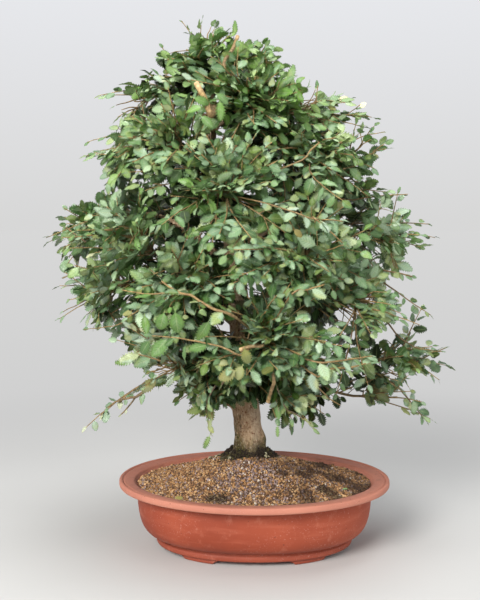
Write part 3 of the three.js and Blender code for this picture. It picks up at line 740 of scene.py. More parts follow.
SOIL_BED = shades((0.3, 46, 32, 22), (0.55, 96, 70, 48), (0.75, 140, 108, 76))
GRAIN_KINDS = shades(
    (0.0, 100, 72, 50), (0.16, 146, 106, 70), (0.36, 184, 138, 88), (0.56, 206, 168, 122),
    (0.72, 164, 142, 136), (0.86, 130, 112, 110), (0.97, 222, 208, 190),
)
SHADED_DARK_BED, SHADED_DARK_GRAIN, GRAIN_DUST = rgb(40, 25, 16), rgb(46, 27, 15), rgb(140, 108, 80)


def soil_material():
    """The dark bed between the grains."""
    g = new_graph("soil")
    n = g.noise(420.0, 4.0, 0.7)
    # Darker in the hollows and round the trunk, and painted shade towards the right
    colour = g.over(g.ramp(n, SOIL_BED), SHADED_DARK_BED, g.attribute("shade_and_darkening"), 0.86)
    return g.finish(colour, 0.92, **g.bump(n, 0.9, 0.002))


def grain_material():
    """Grains of several clays and grits, each of one colour, darker in the hollows and round the trunk, and
    with painted shade towards the right.
    """
    g = new_graph("grain")
    n = g.noise(900.0, 3.0, 0.6)
    kinds = g.ramp(g.attribute("tone"), GRAIN_KINDS, "CONSTANT")
    colour = g.blend(g.remap(n, 0.35, 0.75, 0.0, 0.3), kinds, GRAIN_DUST)
    # Darker in the hollows and round the trunk, and painted shade towards the right
    colour = g.over(colour, SHADED_DARK_GRAIN, g.attribute("shade_and_darkening"), 0.9)
    return g.finish(colour, 0.85, **g.bump(n, 0.5, 0.0005))


DARK_CLUMP = shades((0.3, 20, 14, 8), (0.55, 46, 34, 22), (0.75, 84, 64, 42))
GREEN_CLUMP = shades((0.3, 38, 34, 14), (0.55, 74, 68, 32), (0.75, 128, 118, 70))
PALE_CLUMP = shades((0.3, 120, 112, 70), (0.55, 186, 180, 150), (0.75, 224, 218, 200))
# What a clump is, as a number: dark litter up to 0.5, green moss from there, and pale lichen from 1.6
GREEN_KIND, PALE_KIND = 0.7, 2.0


def moss_material():
    g = new_graph("moss")
    n = g.noise(330.0, 4.0, 0.7)
    kind = g.attribute("green")
    colour = g.blend(g.remap(kind, 0.5, 0.75), g.ramp(n, DARK_CLUMP), g.ramp(n, GREEN_CLUMP))
    colour = g.blend(g.remap(kind, 1.4, 1.6), colour, g.ramp(n, PALE_CLUMP))
    return g.finish(colour, 0.95, **g.bump(n, 1.0, 0.0015))


SCREEN_GREYS = [(0.3, (0.012, 0.012, 0.012)), (0.8, (0.05, 0.045, 0.04))]


def screen_material():
    g = new_graph("screen")
    n = g.noise(600.0, 3.0)
    return g.finish(g.ramp(n, SCREEN_GREYS), 0.6, **g.bump(n, 0.3, 0.0004))


LEAF, TWIG, BARK, CLAY = leaf_material(), twig_material(), bark_material(), clay_material()
SOIL, GRAIN, MOSS, SCREEN = soil_material(), grain_material(), moss_material(), screen_material()


# Leaves: one blade with a rib, an edge and its teeth, repeated in other sizes
STATIONS = [0.0, 0.08, 0.2, 0.34, 0.48, 0.62, 0.75, 0.86, 0.95, 1.0]
FEW_STATIONS = [0.0, 0.16, 0.45, 0.76, 1.0]
TOOTH, TOOTH_AT = 0.115, 0.9
STALK_FROM, STALK_TO, STALK_HALF_WIDTHS = -0.13, 0.04, (0.3, 0.35)


class Template:
    """One leaf: u along it, v across it, y in millimetres and tooth in lengths beside them."""

    def __init__(self, stations, teeth):
        self.rows, self.tris = [], []
        last = len(stations) - 1
        rib = [self.vert(u, 0.0) for u in stations]
        for side in (1, -1):
            edge = {i: self.vert(stations[i], side) for i in range(1, last)}
            self.face(side, rib[0], rib[1], edge[1])
            for i in range(1, last - 1):
                self.face(side, rib[i], rib[i + 1], edge[i + 1])
                self.face(side, rib[i], edge[i + 1], edge[i])
                if teeth:
                    point = self.vert(mix(stations[i], stations[i + 1], TOOTH_AT), side, 0.0, side * TOOTH)
                    self.face(side, edge[i], edge[i + 1], point)
            self.face(side, rib[last - 1], rib[last], edge[last - 1])
        if teeth:
            thin, thick = STALK_HALF_WIDTHS
            a, b = self.vert(STALK_FROM, 0, -thin), self.vert(STALK_FROM, 0, thin)
            c, d = self.vert(STALK_TO, 0, thick), self.vert(STALK_TO, 0, -thick)
            self.tris += [(a, c, b), (a, d, c)]
        self.u, self.v, self.y, self.tooth = np.array(self.rows).T
        self.width = np.sin(np.pi * np.clip(self.u, 0, 1) ** 0.9)
        self.tris = np.array(self.tris, np.int32)

    def vert(self, u, v, y=0.0, tooth=0.0):
        self.rows.append((u, v, y, tooth))
        return len(self.rows) - 1

    def face(self, side, a, b, c):
        self.tris.append((a, b, c) if side > 0 else (a, c, b))


BLADE, PLAIN_BLADE = Template(STATIONS, True), Template(FEW_STATIONS, False)
# Columns of a row of leaf values, and how much an edge waves, in half-widths
SIZES, TONE, AGE, INNER, DRY_AND_BACKLIT = slice(9, 14), 14, 15, 16, 17
WAVE, WAVES, CUP = 0.12, 15, 0.25


class Leaves:
    """Collects leaves, each given by its foot, its direction, its upper face and its size."""

    def __init__(self):
        self.rows = []

    def add(self, foot, along, faces, length, width, bend, fold, twist, tone, age, inner=0, dry=0.0):
        self.rows.append((*foot, *along, *faces, length, width, bend, fold, twist, tone, age, inner, dry))

    def points(self, blade, r):
        foot, along, faces = r[:, 0:3], units(r[:, 3:6]), r[:, 6:9]
        faces = units(faces - (faces * along).sum(1, keepdims=True) * along)
        side = np.cross(faces, along)
        length, width, bend, fold, twist = r[:, SIZES].T[:, :, None]
        bend = np.where(np.abs(bend) < 1e-3, 1e-3, bend)
        u, v = blade.u[None, :], blade.v[None, :]
        half = width / 2 * blade.width[None, :]
        inside = np.clip(u, 0, 1)
        x = length * np.sin(bend * inside) / bend + length * np.minimum(u, 0)
        z = -length * (1 - np.cos(bend * inside)) / bend
        y = half * v + blade.y[None, :] + blade.tooth[None, :] * length
        rise_at_edge = half * (np.sin(fold) - CUP) * np.abs(v)
        rise_at_edge += half * WAVE * np.sin(WAVES * u + 40 * r[:, TONE, None]) * np.abs(v)
        turn = twist * inside
        z = z + y * np.sin(turn) + rise_at_edge * np.cos(turn)
        y = y * np.cos(turn) - rise_at_edge * np.sin(turn)
        points = foot[:, None, :] + along[:, None, :] * x[..., None]
        return points + side[:, None, :] * y[..., None] + faces[:, None, :] * z[..., None]

    def build(self, name):
        made = np.array(self.rows, float)
        inner = made[:, INNER] > 0.5
        columns = max(1, math.ceil(math.sqrt(2 * len(made))))
        down = math.ceil(len(made) / columns)
        verts, tris, uv, data, at, first = [], [], [], [], 0, 0
        for blade, r in ((BLADE, made[~inner]), (PLAIN_BLADE, made[inner])):
            if not len(r):
                continue
            points = self.points(blade, r)
            n, size = points.shape[:2]
            verts.append(points.reshape(-1, 3))
            tris.append(copies(blade.u, blade.tris, points) + at)
            # Each leaf has its own cell of the baked picture
            cell = (np.arange(n) + first)[:, None]
            px = (cell % columns + 0.5 + blade.v * blade.width * 0.4 + blade.y * 0.1 + blade.tooth) / columns
            py = (cell // columns + 0.14 + blade.u * 0.82) / down
            uv.append(np.stack([px, py], -1).reshape(-1, 2))
            own = np.repeat(r[:, [TONE, AGE, DRY_AND_BACKLIT]].T, size, axis=1)
            data.append(np.concatenate([np.tile([blade.u, blade.v], n), own]))
            at, first = at + n * size, first + n
        data = dict(zip(("lu", "lv", "tone", "age", "dry"), np.concatenate(data, 1)))
        return new_mesh(name, np.concatenate(verts), [np.concatenate(tris)], LEAF, data, np.concatenate(uv))


# Openings right through the crown, as they show from a point in front: middle across and up, half width and
# half height in the plane of the trunk
FRONT = np.array([2.0, -1149.0, 419.0])
GAPS = np.array([
    (-228, 307, 20, 12), (119, 303, 20, 12), (185, 188, 13, 16), (122, 539, 12, 13), (-161, 571, 17, 14),
    (97, 177, 16, 10), (136, 516, 18, 9), (-39, 281, 10, 17), (-118, 225, 17, 9), (146, 320, 13, 10),
    (68, 576, 12, 13), (-15, 655, 13, 12), (-172, 252, 13, 14), (181, 221, 10, 12), (17, 176, 9, 14),
    (-94, 639, 13, 9), (-48, 170, 9, 13), (173, 335, 14, 6), (-63, 660, 13, 8), (-87, 178, 10, 17),
    (178, 269, 10, 9), (202, 208, 10, 8), (215, 265, 12, 9), (181, 288, 9, 8), (164, 429, 12, 6),
    (230, 381, 12, 5), (128, 196, 10, 6), (-223, 367, 6, 10), (-70, 162, 10, 8), (-113, 608, 10, 5),
    (-103, 203, 6, 9), (126, 399, 12, 6), (-154, 598, 5, 8), (-106, 652, 6, 6), (-134, 395, 6, 6),
    (103, 395, 8, 6),
])
# The opening that the trunk is seen through: its back and depth, its middle behind and in front, half size
OPENING_Y, OPENING_DEPTH, OPENING_X, OPENING_Z, OPENING_HALF = 20, 208, (-21, -18), (279, 303), (9, 22)


def in_opening(p):
    """Whether a point is in a gap among the leaves."""
    t = (OPENING_Y - p[1]) / OPENING_DEPTH
    aside = (p[0] - mix(*OPENING_X, t)) / OPENING_HALF[0]
    above = (p[2] - mix(*OPENING_Z, t)) / OPENING_HALF[1]
    if -0.1 < t < 1.2 and aside**2 + above**2 < 1:
        return True
    s = (p[1] - FRONT[1]) / (CROWN_Y - FRONT[1])
    aside = (p[0] - mix(FRONT[0], GAPS[:, 0], s)) / (GAPS[:, 2] * s)
    above = (p[2] - mix(FRONT[2], GAPS[:, 1], s)) / (GAPS[:, 3] * s)
    return bool((aside**2 + above**2 < 1).any())


# Shade in the crown: where it starts, how far in it is full and how dark, and from where up it halves
SHADE_FROM, SHADE_DEPTH, SHADE_MOST, SHADE_HALVES = 0.87, 0.34, 0.62, (520, 100)
# Leaves at the underside are painted paler, and some of them olive, as painted light that shines through them
LOW_FROM, LOW_DEPTH, LOW_PAINTED_LIGHT, BACKLIT_OLIVE_SHARE, BACKLIT_OLIVE = 228, 45, 0.2, 0.3, 0.34
END_ROOM, END_GAP, END_TURN, END_SIZE, STALK_LENGTH, DRY_SHARE = 8, 3, 14, 0.85, 1.6, 0.014


def leafy(shoot, leaves, rng, first, step, size, fresh, tone=0.5, inner=0):
    """Puts leaves down both sides of a shoot, and one at its end; gives the way to the last of them."""
    a, reach = first, 0.0
    side = 1 if rng.random() < 0.5 else -1
    while True:
        last = a > shoot.length - END_ROOM
        a = min(a, shoot.length - END_GAP)
        share = a / shoot.length
        foot, tangent = shoot.point(a), shoot.tangent(a)
        spread = rng.uniform(-END_TURN, END_TURN) if last else side * rng.normal(LEAF_SPREAD, 10)
        spread = math.radians(spread)
        along = tangent * math.cos(spread) + shoot.across * math.sin(spread) + rng.normal(0, 0.15, 3)
        along[2] -= rng.uniform(-0.05, 0.16)
        faces = shoot.faces + rng.normal(0, 0.36, 3)
        swell = 0.74 + 0.42 * math.sin(math.pi * clamp(share * 0.9 + 0.08))
        length = size * swell * rng.uniform(0.68, 1.18) * (END_SIZE if last else 1)
        age = clamp(fresh + 0.3 * (share - 0.6) + rng.normal(0, 0.09))
        inside = clamp((SHADE_FROM - outside(foot)) / SHADE_DEPTH)
        inside *= mix(1, 0.5, clamp((foot[2] - SHADE_HALVES[0]) / SHADE_HALVES[1]))
        low = clamp((LOW_FROM - foot[2]) / LOW_DEPTH)
        # Painted light: leaves at the underside are made paler
        shade = clamp(rng.normal(tone, 0.2) - SHADE_MOST * inside + LOW_PAINTED_LIGHT * low)
        along = unit(along)
        dry = rng.uniform(0.25, 0.7) if rng.random() < DRY_SHARE else 0.0
        # Painted light: some leaves at the underside are made olive, as if lit through from behind
        if draw(round(foot[0] * 3), round(foot[2] * 5)) < BACKLIT_OLIVE_SHARE * low:
            dry = max(dry, BACKLIT_OLIVE)
        width = length * rng.uniform(0.39, 0.53)
        shape = (rng.uniform(0.0, 0.6), rng.uniform(0.0, 0.7), rng.normal(0, 0.3))
        if not in_opening(foot + along * length * 0.5):
            blade = foot + along * STALK_LENGTH
            leaves.add(blade, along, faces, length, width, *shape, shade, age, inner, dry)
            reach = a
        if last:
            return reach
        a += step * rng.uniform(0.8, 1.2)
        side = -side


# Kinds of shoots: their lengths, the least that is kept of one, and the sizes of their leaves
SPUR_LENGTHS, SPUR_LEAST, SPUR_LEAVES = (26, 48), 14, 20.0
LONG_LENGTHS, LONG_LEAST, LONG_LEAVES = (85, 150.0), 30, (15, 19)
FILLER_LENGTHS, FILLER_LEAST, FILLER_LEAVES = (70, 105), 24, (17, 21)
SIDE_LENGTHS, SIDE_LEAST, SIDE_LEAVES, SIDE_TWIGS = (26, 46), 12, 0.95, 2
SHOOT_LEAST, SHOOT_LEAVES, BARE_SHOOTS, BARE_LEAVES = 16, (17.0, 21.5), [0, 1, 3, 6], 15


def trimmed(shoot, limit=1.0):
    """Shortens a shoot to where it leaves the crown."""
    a = 0.0
    while a < shoot.length and outside(shoot.point(a + 6)) < limit:
        a += 3.0
    if a < shoot.length:
        shoot.length = a
    return shoot


def twig_points(shoot, rng, count, wiggle):
    """Points down a shoot that sway a little, and their places along it from 0 to 1."""
    stops = np.linspace(0, shoot.length - 2, count)
    pts = np.array([shoot.point(a) for a in stops])
    sway = rng.normal(0, wiggle, (count, 2)) * np.sin(np.pi * np.linspace(0, 1, count))[:, None] ** 0.5
    sway[0] = 0
    return pts + shoot.across * sway[:, :1] + shoot.faces * sway[:, 1:], stops / shoot.length


def add_twig(twigs, line, share, reach, length, radii, sides, young):
    """Adds a twig as far as its last leaf."""
    if reach <= 0:
        return
    end = min(1.0, (reach + 2.5) / length)
    stops = np.append(share[share < end - 0.02], end)
    pts = np.stack([np.interp(stops, share, line[:, c]) for c in range(3)], -1)
    twigs.add(pts, mix(*radii, stops), sides, young=mix(*young, stops))


def loose_shoot(p, j):
    """A shoot that isn't in the solids: flatter, and turned more to the outside."""
    shoot = shoot_of(p, j)
    heading = shoot.heading.copy()
    heading[2] *= 0.62
    away = unit(shoot.at - np.array([between(TRUNK, 2, shoot.at[2], 0), CROWN_Y, shoot.at[2]]))
    heading = unit(heading) + 0.5 * abs(away[0]) * away * (0.4 + draw(p.k, j + 50))
    return Shoot(shoot.at, heading, shoot.faces, shoot.length, 0.08)


def grow_twig(shoot, leaves, twigs, rng, radius, size, fresh, tone, rings, sides):
    """Leaves on a shoot, and its wood if a collection for it is given."""
    line, share = twig_points(shoot, rng, rings, 0.6)
    reach = leafy(shoot, leaves, rng, rng.uniform(7, 12), 7.6, size, fresh, tone)
    if twigs:
        add_twig(twigs, line, share, reach, shoot.length, (radius, 0.42), sides, (0.55, 1.0))
    return line, share, reach


def grow_spurs(curve, first, last, count, leaves, twigs, rng):
    """Short shaded twigs on the inner wood."""
    for _ in range(count):
        t = rng.uniform(first, last)
        at, along = curve.point(t), curve.tangent(t)
        side = unit(np.cross(UP, along))
        turn = rng.uniform(0, 2 * math.pi)
        heading = along * 0.5 + side * math.cos(turn) + np.cross(along, side) * math.sin(turn)
        spur = Shoot(at, heading, UP + rng.normal(0, 0.4, 3), rng.uniform(*SPUR_LENGTHS), 0.1)
        trimmed(spur, 0.95)
        if spur.length < SPUR_LEAST:
            continue
        line, share = twig_points(spur, rng, 4, 0.5)
        reach = leafy(spur, leaves, rng, rng.uniform(6, 10), 7.5, SPUR_LEAVES, 0.02, 0.22, 1)
        add_twig(twigs, line, share, reach, spur.length, (0.8, 0.4), 4, (0.3, 0.8))


def grow_long(p, leaves, twigs, rng, height):
    """Long thin shoots that reach out of the crown, with leaves further apart."""
    sideways = abs(p.outward[0]) > 0.4 or p.outward[2] > 0.55
    for _ in range(3 if sideways else 1):
        t = rng.uniform(0.6, 0.95)
        at = p.stem.point(t)
        heading = p.stem.tangent(t) * 0.5 + p.outward * 0.7 + rng.normal(0, 0.26, 3)
        if p.outward[2] < 0.55:
            heading[2] = heading[2] * 0.5 + rng.normal(0.04, 0.14)
        shoot = Shoot(at, heading, UP + p.outward * 0.3 + rng.normal(0, 0.4, 3), LONG_LENGTHS[1], 0.06)
        trimmed(shoot, rng.uniform(1.0, 1.1))
        shoot.length = min(shoot.length, rng.uniform(*LONG_LENGTHS))
        if shoot.length < LONG_LEAST:
            continue
        fresh = 0.12 + 0.3 * height + (0.4 if rng.random() < 0.3 else 0)
        line, share = twig_points(shoot, rng, 9, 1.0)
        reach = leafy(shoot, leaves, rng, rng.uniform(14, 24), 10.5, rng.uniform(*LONG_LEAVES), fresh)
        add_twig(twigs, line, share, reach, shoot.length, (1.5, 0.45), 5, (0.4, 1.0))


def grow_fillers(p, leaves, twigs, rng):
    """Leafy shoots straight from the main branch."""
    path = PATHS[p.branch]
    for _ in range(3):
        t = rng.uniform(max(0.45, p.t - 0.24), p.t)
        at, along = path.point(t), path.tangent(t)
        side = unit(np.cross(UP, along))
        turn = rng.uniform(0, 2 * math.pi)
        heading = along * 0.7 + side * math.cos(turn) + np.cross(along, side) * math.sin(turn) * 0.7
        heading[1] -= 0.25
        faces = UP * 0.5 + p.outward * 0.5 + rng.normal(0, 0.3, 3)
        shoot = Shoot(at, heading, faces, rng.uniform(*FILLER_LENGTHS), 0.1)
        trimmed(shoot, 0.84 + 0.12 * rng.random())
        if shoot.length > FILLER_LEAST:
            grow_twig(shoot, leaves, twigs, rng, 1.1, rng.uniform(*FILLER_LEAVES), 0.08, 0.48, 6, 5)


STEM_RINGS, STEM_SIDES, STEM_RADII, STEM_YOUNG = 12, 7, (2.3, 1.15), (0.15, 0.7)
FOOT_RADIUS, FOOT_YOUNG = 2.8, 0.1


def add_stem(p, twigs, rng):
    """The stem of a spray, with its foot in the main branch."""
    stops = np.linspace(0, 1, STEM_RINGS)
    pts = np.array([p.stem.point(t) for t in stops])
    wobble = rng.normal(0, 0.7, (STEM_RINGS, 3)) * np.sin(np.pi * stops)[:, None]
    pts = np.concatenate([[p.root], pts + wobble])
    young = np.concatenate([[FOOT_YOUNG], mix(*STEM_YOUNG, stops)])
    twigs.add(pts, np.concatenate([[FOOT_RADIUS], mix(*STEM_RADII, stops)]), STEM_SIDES, young=young)


def grow_side_twigs(shoot, j, leaves, twigs, rng, *look):
    """Small twigs to both sides of a shoot; gives the way to the furthest one with leaves."""
    reach = 0.0
    for n in range(SIDE_TWIGS):
        a = shoot.length * rng.uniform(0.2, 0.66)
        way = 1 if (n + j) % 2 else -1
        opened = math.radians(rng.uniform(35, 60)) * way
        heading = shoot.tangent(a) * math.cos(opened) + shoot.across * math.sin(opened)
        heading = heading + shoot.faces * rng.normal(0.05, 0.3)
        faces = shoot.faces + rng.normal(0, 0.25, 3)
        small = Shoot(shoot.point(a), heading, faces, rng.uniform(*SIDE_LENGTHS), 0.08)
        trimmed(small, 0.88 + 0.12 * rng.random())
        if small.length > SIDE_LEAST and grow_twig(small, leaves, twigs, rng, 0.75, *look, 4, 4)[2]:
            reach = max(reach, a)
    return reach


def grow_spray(p):
    """A spray of leafy shoots on its stem, as one piece of leaves and one of twigs."""
    rng = np.random.default_rng(1000 + p.k)
    leaves, twigs = Leaves(), Tubes()
    height = clamp((p.tip[2] - 150) / 520)
    add_stem(p, twigs, rng)
    for j in BARE_SHOOTS if p.bare else range(SHOOTS):
        shoot = loose_shoot(p, j) if j > 3 else shoot_of(p, j)
        if j:
            trimmed(shoot, 0.86 + 0.13 * rng.random())
        if shoot.length < SHOOT_LEAST:
            continue
        # Young leaves come at the top; leaves are painted paler higher up and on the left, as painted light
        fresh = 0.06 + 0.7 * height**1.7 + (0.5 if rng.random() < 0.1 + 0.15 * height else 0.0)
        tone = rng.normal(0.53, 0.13) + 0.17 * height
        tone += 0.2 * clamp(-p.tip[0] / 190) + 0.24 * clamp((p.tip[2] - 480) / 120)
        size = rng.uniform(*SHOOT_LEAVES)
        if p.bare:
            line, share = twig_points(shoot, rng, 8, 0.6)
            twigs.add(line, mix(1.2, 0.45, share), 6, young=mix(0.6, 1.0, share))
            leafy(shoot, leaves, rng, 22, 9, BARE_LEAVES, fresh, tone)
            continue
        line, share, reach = grow_twig(shoot, leaves, None, rng, 1.15, size, fresh, tone, 7, 5)
        beside = grow_side_twigs(shoot, j, leaves, twigs, rng, size * SIDE_LEAVES, fresh + 0.03, tone)
        add_twig(twigs, line, share, max(reach, beside), shoot.length, (1.15, 0.42), 5, (0.55, 1.0))
    if not p.bare:
        grow_long(p, leaves, twigs, rng, height)
        grow_fillers(p, leaves, twigs, rng)
        grow_spurs(p.stem, 0.05, 0.6, 7, leaves, twigs, rng)
        grow_spurs(PATHS[p.branch], max(0.3, p.t - 0.24), p.t, 5, leaves, twigs, rng)
    name = "spray_%02d" % (p.k + 1)
    belongs(leaves.build("leaves_%02d" % (p.k + 1)), "leaf", name)
    belongs(twigs.build("twigs_%02d" % (p.k + 1), TWIG), "bark", name)


for plan in PLANS:
    grow_spray(plan)


# Barks of the single twigs: how young the foot and the end look, and how thick they are beside their rows
TWIG_BARK, OLD_BARK, CUT_END = (0.6, 1.0), (0.0, 0.6), (0.5, 2.0)
BARK_THICKNESS = {TWIG_BARK: 0.66, OLD_BARK: 0.9, CUT_END: 1.0}


def level(y, *places):
    """Points at one depth, from their x and z in turn."""
    return [(x, y, z) for x, z in zip(places[::2], places[1::2])]


# Single twigs: points, radii from first to last, whether they start from the wood behind, their bark, and
# their leaves: where they start, their step, size, freshness and tone
ARMS = [
    (level(-8, -82, 226, -95, 222, -125, 212, -143, 201, -152, 195,
           -163, 193, -178, 188, -190, 180, -199, 168),
     (3.4, 3.0, 2.3, 1.2, 0.8), True, OLD_BARK, (20, 12, 13, 0.1, 0.5)),
    (level(-8, -151, 196, -160, 185, -172, 171), (1.4, 0.8), False, OLD_BARK, (10, 12, 10, 0.1, 0.55)),
    (level(4, 144, 226, 170, 216, 185, 208, 196, 195, 208, 180, 224, 161),
     (1.7, 0.6), True, OLD_BARK, (40, 17, 17, 0.0, 0.2)),
    (level(12, 153, 246, 171, 239, 197, 233, 221, 228, 241, 214),
     (1.6, 0.7), True, TWIG_BARK, (10, 9, 15, 0.0, 0.3)),
    (level(14, 195, 231, 215, 240, 233, 250, 250, 257), (1.3, 0.7), True, OLD_BARK, (6, 8, 14, 0.0, 0.3)),
    (level(-20, 120, 321, 162, 299, 180, 277, 201, 263, 222, 258, 237, 256),
     (1.7, 0.6), True, OLD_BARK, (20, 10, 15, 0.05, 0.35)),
    (level(-10, 146, 356, 161, 345, 192, 323, 223, 302),
     (1.5, 0.6), True, OLD_BARK, (10, 8, 13, 0.15, 0.3)),
    (level(-30, 94, 357, 118, 360, 155, 360, 196, 352),
     (2.0, 0.8), True, OLD_BARK, (30, 11, 16, 0.05, 0.4)),
    (level(8, 125, 401, 167, 405, 199, 404, 231, 400), (1.6, 0.6), True, TWIG_BARK, (10, 9, 16, 0.2, 0.4)),
    (level(24, 124, 417, 177, 418, 226, 417), (1.5, 0.6), True, OLD_BARK, (12, 10, 15, 0.1, 0.35)),
    (level(12, 117, 447, 154, 452, 196, 455), (1.6, 0.8), True, TWIG_BARK, (10, 12, 15, 0.15, 0.4)),
    (level(0, 73, 501, 104, 511, 135, 526, 164, 532), (1.6, 0.6), True, TWIG_BARK, (16, 10, 13, 0.0, 0.35)),
    (level(10, 58, 521, 93, 536, 123, 559, 135, 568), (1.5, 0.8), True, TWIG_BARK, (14, 13, 15, 0.2, 0.5)),
    (level(-4, 73, 539, 76, 559, 79, 589), (1.5, 0.9), True, TWIG_BARK, (10, 12, 14, 0.2, 0.4)),
    (level(12, -69, 634, -78, 653, -93, 672), (1.4, 0.6), True, TWIG_BARK, (6, 8, 12, 0.3, 0.35)),
    (level(6, -94, 593, -97, 600, -104, 619, -117, 639),
     (1.5, 0.6), True, OLD_BARK, (8, 8, 16, 0.25, 0.35)),
    (level(6, -120, 588, -154, 586, -176, 583, -196, 579),
     (1.4, 0.6), True, TWIG_BARK, (12, 9, 15, 0.2, 0.4)),
    (level(14, -134, 534, -165, 533, -190, 528, -215, 521),
     (1.4, 0.6), True, TWIG_BARK, (12, 9, 14, 0.2, 0.35)),
    (level(-36, -110, 496, -134, 496, -158, 497, -177, 500, -197, 504),
     (1.4, 0.6), True, TWIG_BARK, (30, 10, 14, 0.2, 0.5)),
    (level(14, -186, 429, -220, 419, -244, 409, -270, 399),
     (1.5, 0.6), True, TWIG_BARK, (8, 8, 15, 0.15, 0.4)),
    (level(-12, -201, 386, -221, 399, -238, 412), (1.6, 0.9), True, OLD_BARK, (20, 12, 15, 0.1, 0.4)),
    (level(2, -170, 358, -196, 359, -222, 355, -247, 347),
     (2.0, 0.8), True, OLD_BARK, (40, 12, 14, 0.0, 0.35)),
    (level(-12, -181, 325, -201, 325, -222, 316, -244, 305),
     (1.2, 0.5), True, OLD_BARK, (10, 11, 13, 0.0, 0.4)),
    (level(-30, -163, 294, -186, 288, -214, 285), (1.1, 0.6), True, TWIG_BARK, (18, 14, 14, 0.0, 0.5)),
    (level(-60, -103, 246, -115, 246, -133, 247, -150, 248), (1.1, 0.5), True, TWIG_BARK, None),
    ([(42, -172, 342), (59, -168, 346), (77, -161, 351)],
     (1.6, 1.2), True, TWIG_BARK, (2, 8, 19, 0.1, 0.6)),
    ([(-26, -182, 320), (-43, -183, 325), (-55, -181, 332), (-69, -178, 340), (-85, -174, 344),
     (-101, -171, 355)],
     (2.6, 2.2, 1.4), True, TWIG_BARK, (14, 13, 18, 0.25, 0.55)),
    ([(-85, -173, 344), (-94, -171, 342), (-121, -162, 340), (-148, -148, 344)],
     (1.7, 0.8), False, TWIG_BARK, (8, 10, 20, 0.7, 0.5)),
    ([(-15, -173, 274), (-36, -172, 283), (-62, -174, 289), (-86, -172, 293), (-117, -159, 293)],
     (2.0, 0.8), True, TWIG_BARK, (30, 22, 17, 0.4, 0.5)),
    ([(22, -157, 246), (20, -144, 230), (16, -131, 214)], (2.0, 2.1, 2.2), True, CUT_END, None),
    ([(45, -173, 429), (63, -171, 423), (97, -158, 420)],
     (1.3, 0.9), True, TWIG_BARK, (2, 9, 18, 0.1, 0.7)),
    ([(63, -171, 425), (80, -171, 411), (99, -164, 394)],
     (1.3, 1.0), False, TWIG_BARK, (4, 9, 18, 0.1, 0.65)),
    ([(-36, -75, 604), (-27, -55, 623), (-20, -40, 642)], (2.0, 2.2, 2.3), True, CUT_END, None),
    ([(63, -127, 475), (73, -140, 462), (86, -146, 451), (101, -146, 441)],
     (1.3, 0.8), True, TWIG_BARK, (2, 9, 18, 0.3, 0.55)),
    ([(53, -131, 488), (62, -128, 498), (73, -123, 508)],
     (1.6, 1.4), True, TWIG_BARK, (0, 9, 17, 0.3, 0.5)),
    ([(66, -168, 266), (91, -162, 266), (109, -153, 267), (134, -138, 268)],
     (1.8, 1.1), True, TWIG_BARK, (0, 7, 19, 0.2, 0.6)),
    ([(71, -160, 248), (84, -162, 257), (107, -156, 258), (131, -145, 261)],
     (1.8, 1.2), True, TWIG_BARK, (0, 7, 20, 0.15, 0.65)),
    ([(9, -171, 284), (-2, -173, 284), (-15, -173, 280)], (1.9, 2.1, 2.4), True, CUT_END, None),
    ([(78, -133, 226), (86, -125, 217), (100, -114, 207)], (1.3, 1.0), True, TWIG_BARK, None),
    ([(35, -117, 207), (43, -111, 198), (54, -107, 191), (67, -100, 182)],
     (0.9, 0.5), True, OLD_BARK, (4, 8, 15, 0.2, 0.35)),
    ([(-37, -135, 234), (-32, -147, 244), (-23, -162, 256)], (1.0, 0.8), True, OLD_BARK, None),
    ([(-53, -93, 213), (-58, -68, 191), (-57, -50, 169), (-54, -42, 155)],
     (1.0, 0.5), True, OLD_BARK, (8, 8, 13, 0.2, 0.4)),
    ([(-52, -4, 516), (-50, -34, 546), (-48, -78, 551), (-48, -110, 543), (-49, -124, 540),
     (-52, -122, 547), (-55, -115, 555), (-61, -107, 567), (-67, -100, 578)],
     (3.4, 3.4, 3.6, 6.0, 7.0, 5.2, 3.6, 3.4, 3.2), False, CUT_END, None),
]
# Where shoots with leaves fill the crown in front of the trunk
COVERED = [
    (46, -152, 342), (2, -163, 375), (-9, -162, 367), (4, -160, 351), (-5, -162, 338), (-26, -162, 362),
    (-40, -160, 345), (8, -162, 325), (12, -165, 308), (-60, -124, 508), (-32, -126, 514), (-46, -130, 500),
    (18, -140, 350), (-22, -170, 400), (0, -172, 395), (20, -172, 388), (-40, -166, 300), (-46, -172, 262),
    (24, -176, 296), (30, -172, 316), (-60, -166, 372), (60, -160, 372), (-20, -160, 262), (6, -162, 250),
    (60, -156, 300), (40, -160, 276), (90, -150, 290), (100, -140, 250), (118, -128, 300), (112, -110, 232),
    (-90, -150, 330), (-110, -140, 352), (-134, -132, 320), (-20, -104, 556), (12, -108, 540),
    (-82, -102, 556), (-104, -96, 530), (40, -106, 516), (-56, -88, 592), (-14, -84, 588), (18, -78, 590),
    (-74, -64, 618), (-40, -62, 630), (66, -110, 490), (-126, -96, 496), (-80, -120, 500), (10, -130, 490),
    (2, -118, 512), (16, -120, 504), (-12, -112, 524), (66, -130, 442), (80, -124, 448),
]
# Where single shoots fill the outline
EDGES = [
    (-244, 4, 437), (-224, 10, 442), (176, 8, 373), (182, 8, 358), (-193, 6, 457), (-182, 6, 465),
    (-191, 6, 289), (-177, 0, 288), (62, -30, 175), (74, -30, 174), (123, -60, 279), (135, 20, 273),
    (191, 10, 427), (183, 10, 457), (215, 10, 307), (152, 6, 487), (14, 6, 640), (-174, 8, 552),
    (-242, 10, 365), (-246, 8, 355), (217, 4, 187), (139, -20, 207), (-176, 2, 470), (-188, 0, 468),
    (-168, 0, 560), (178, 0, 362), (186, 4, 352), (-6, -132, 506), (8, -130, 498), (2, -130, 518),
    (-84, -78, 606), (-70, -74, 596), (-100, -94, 574),
]
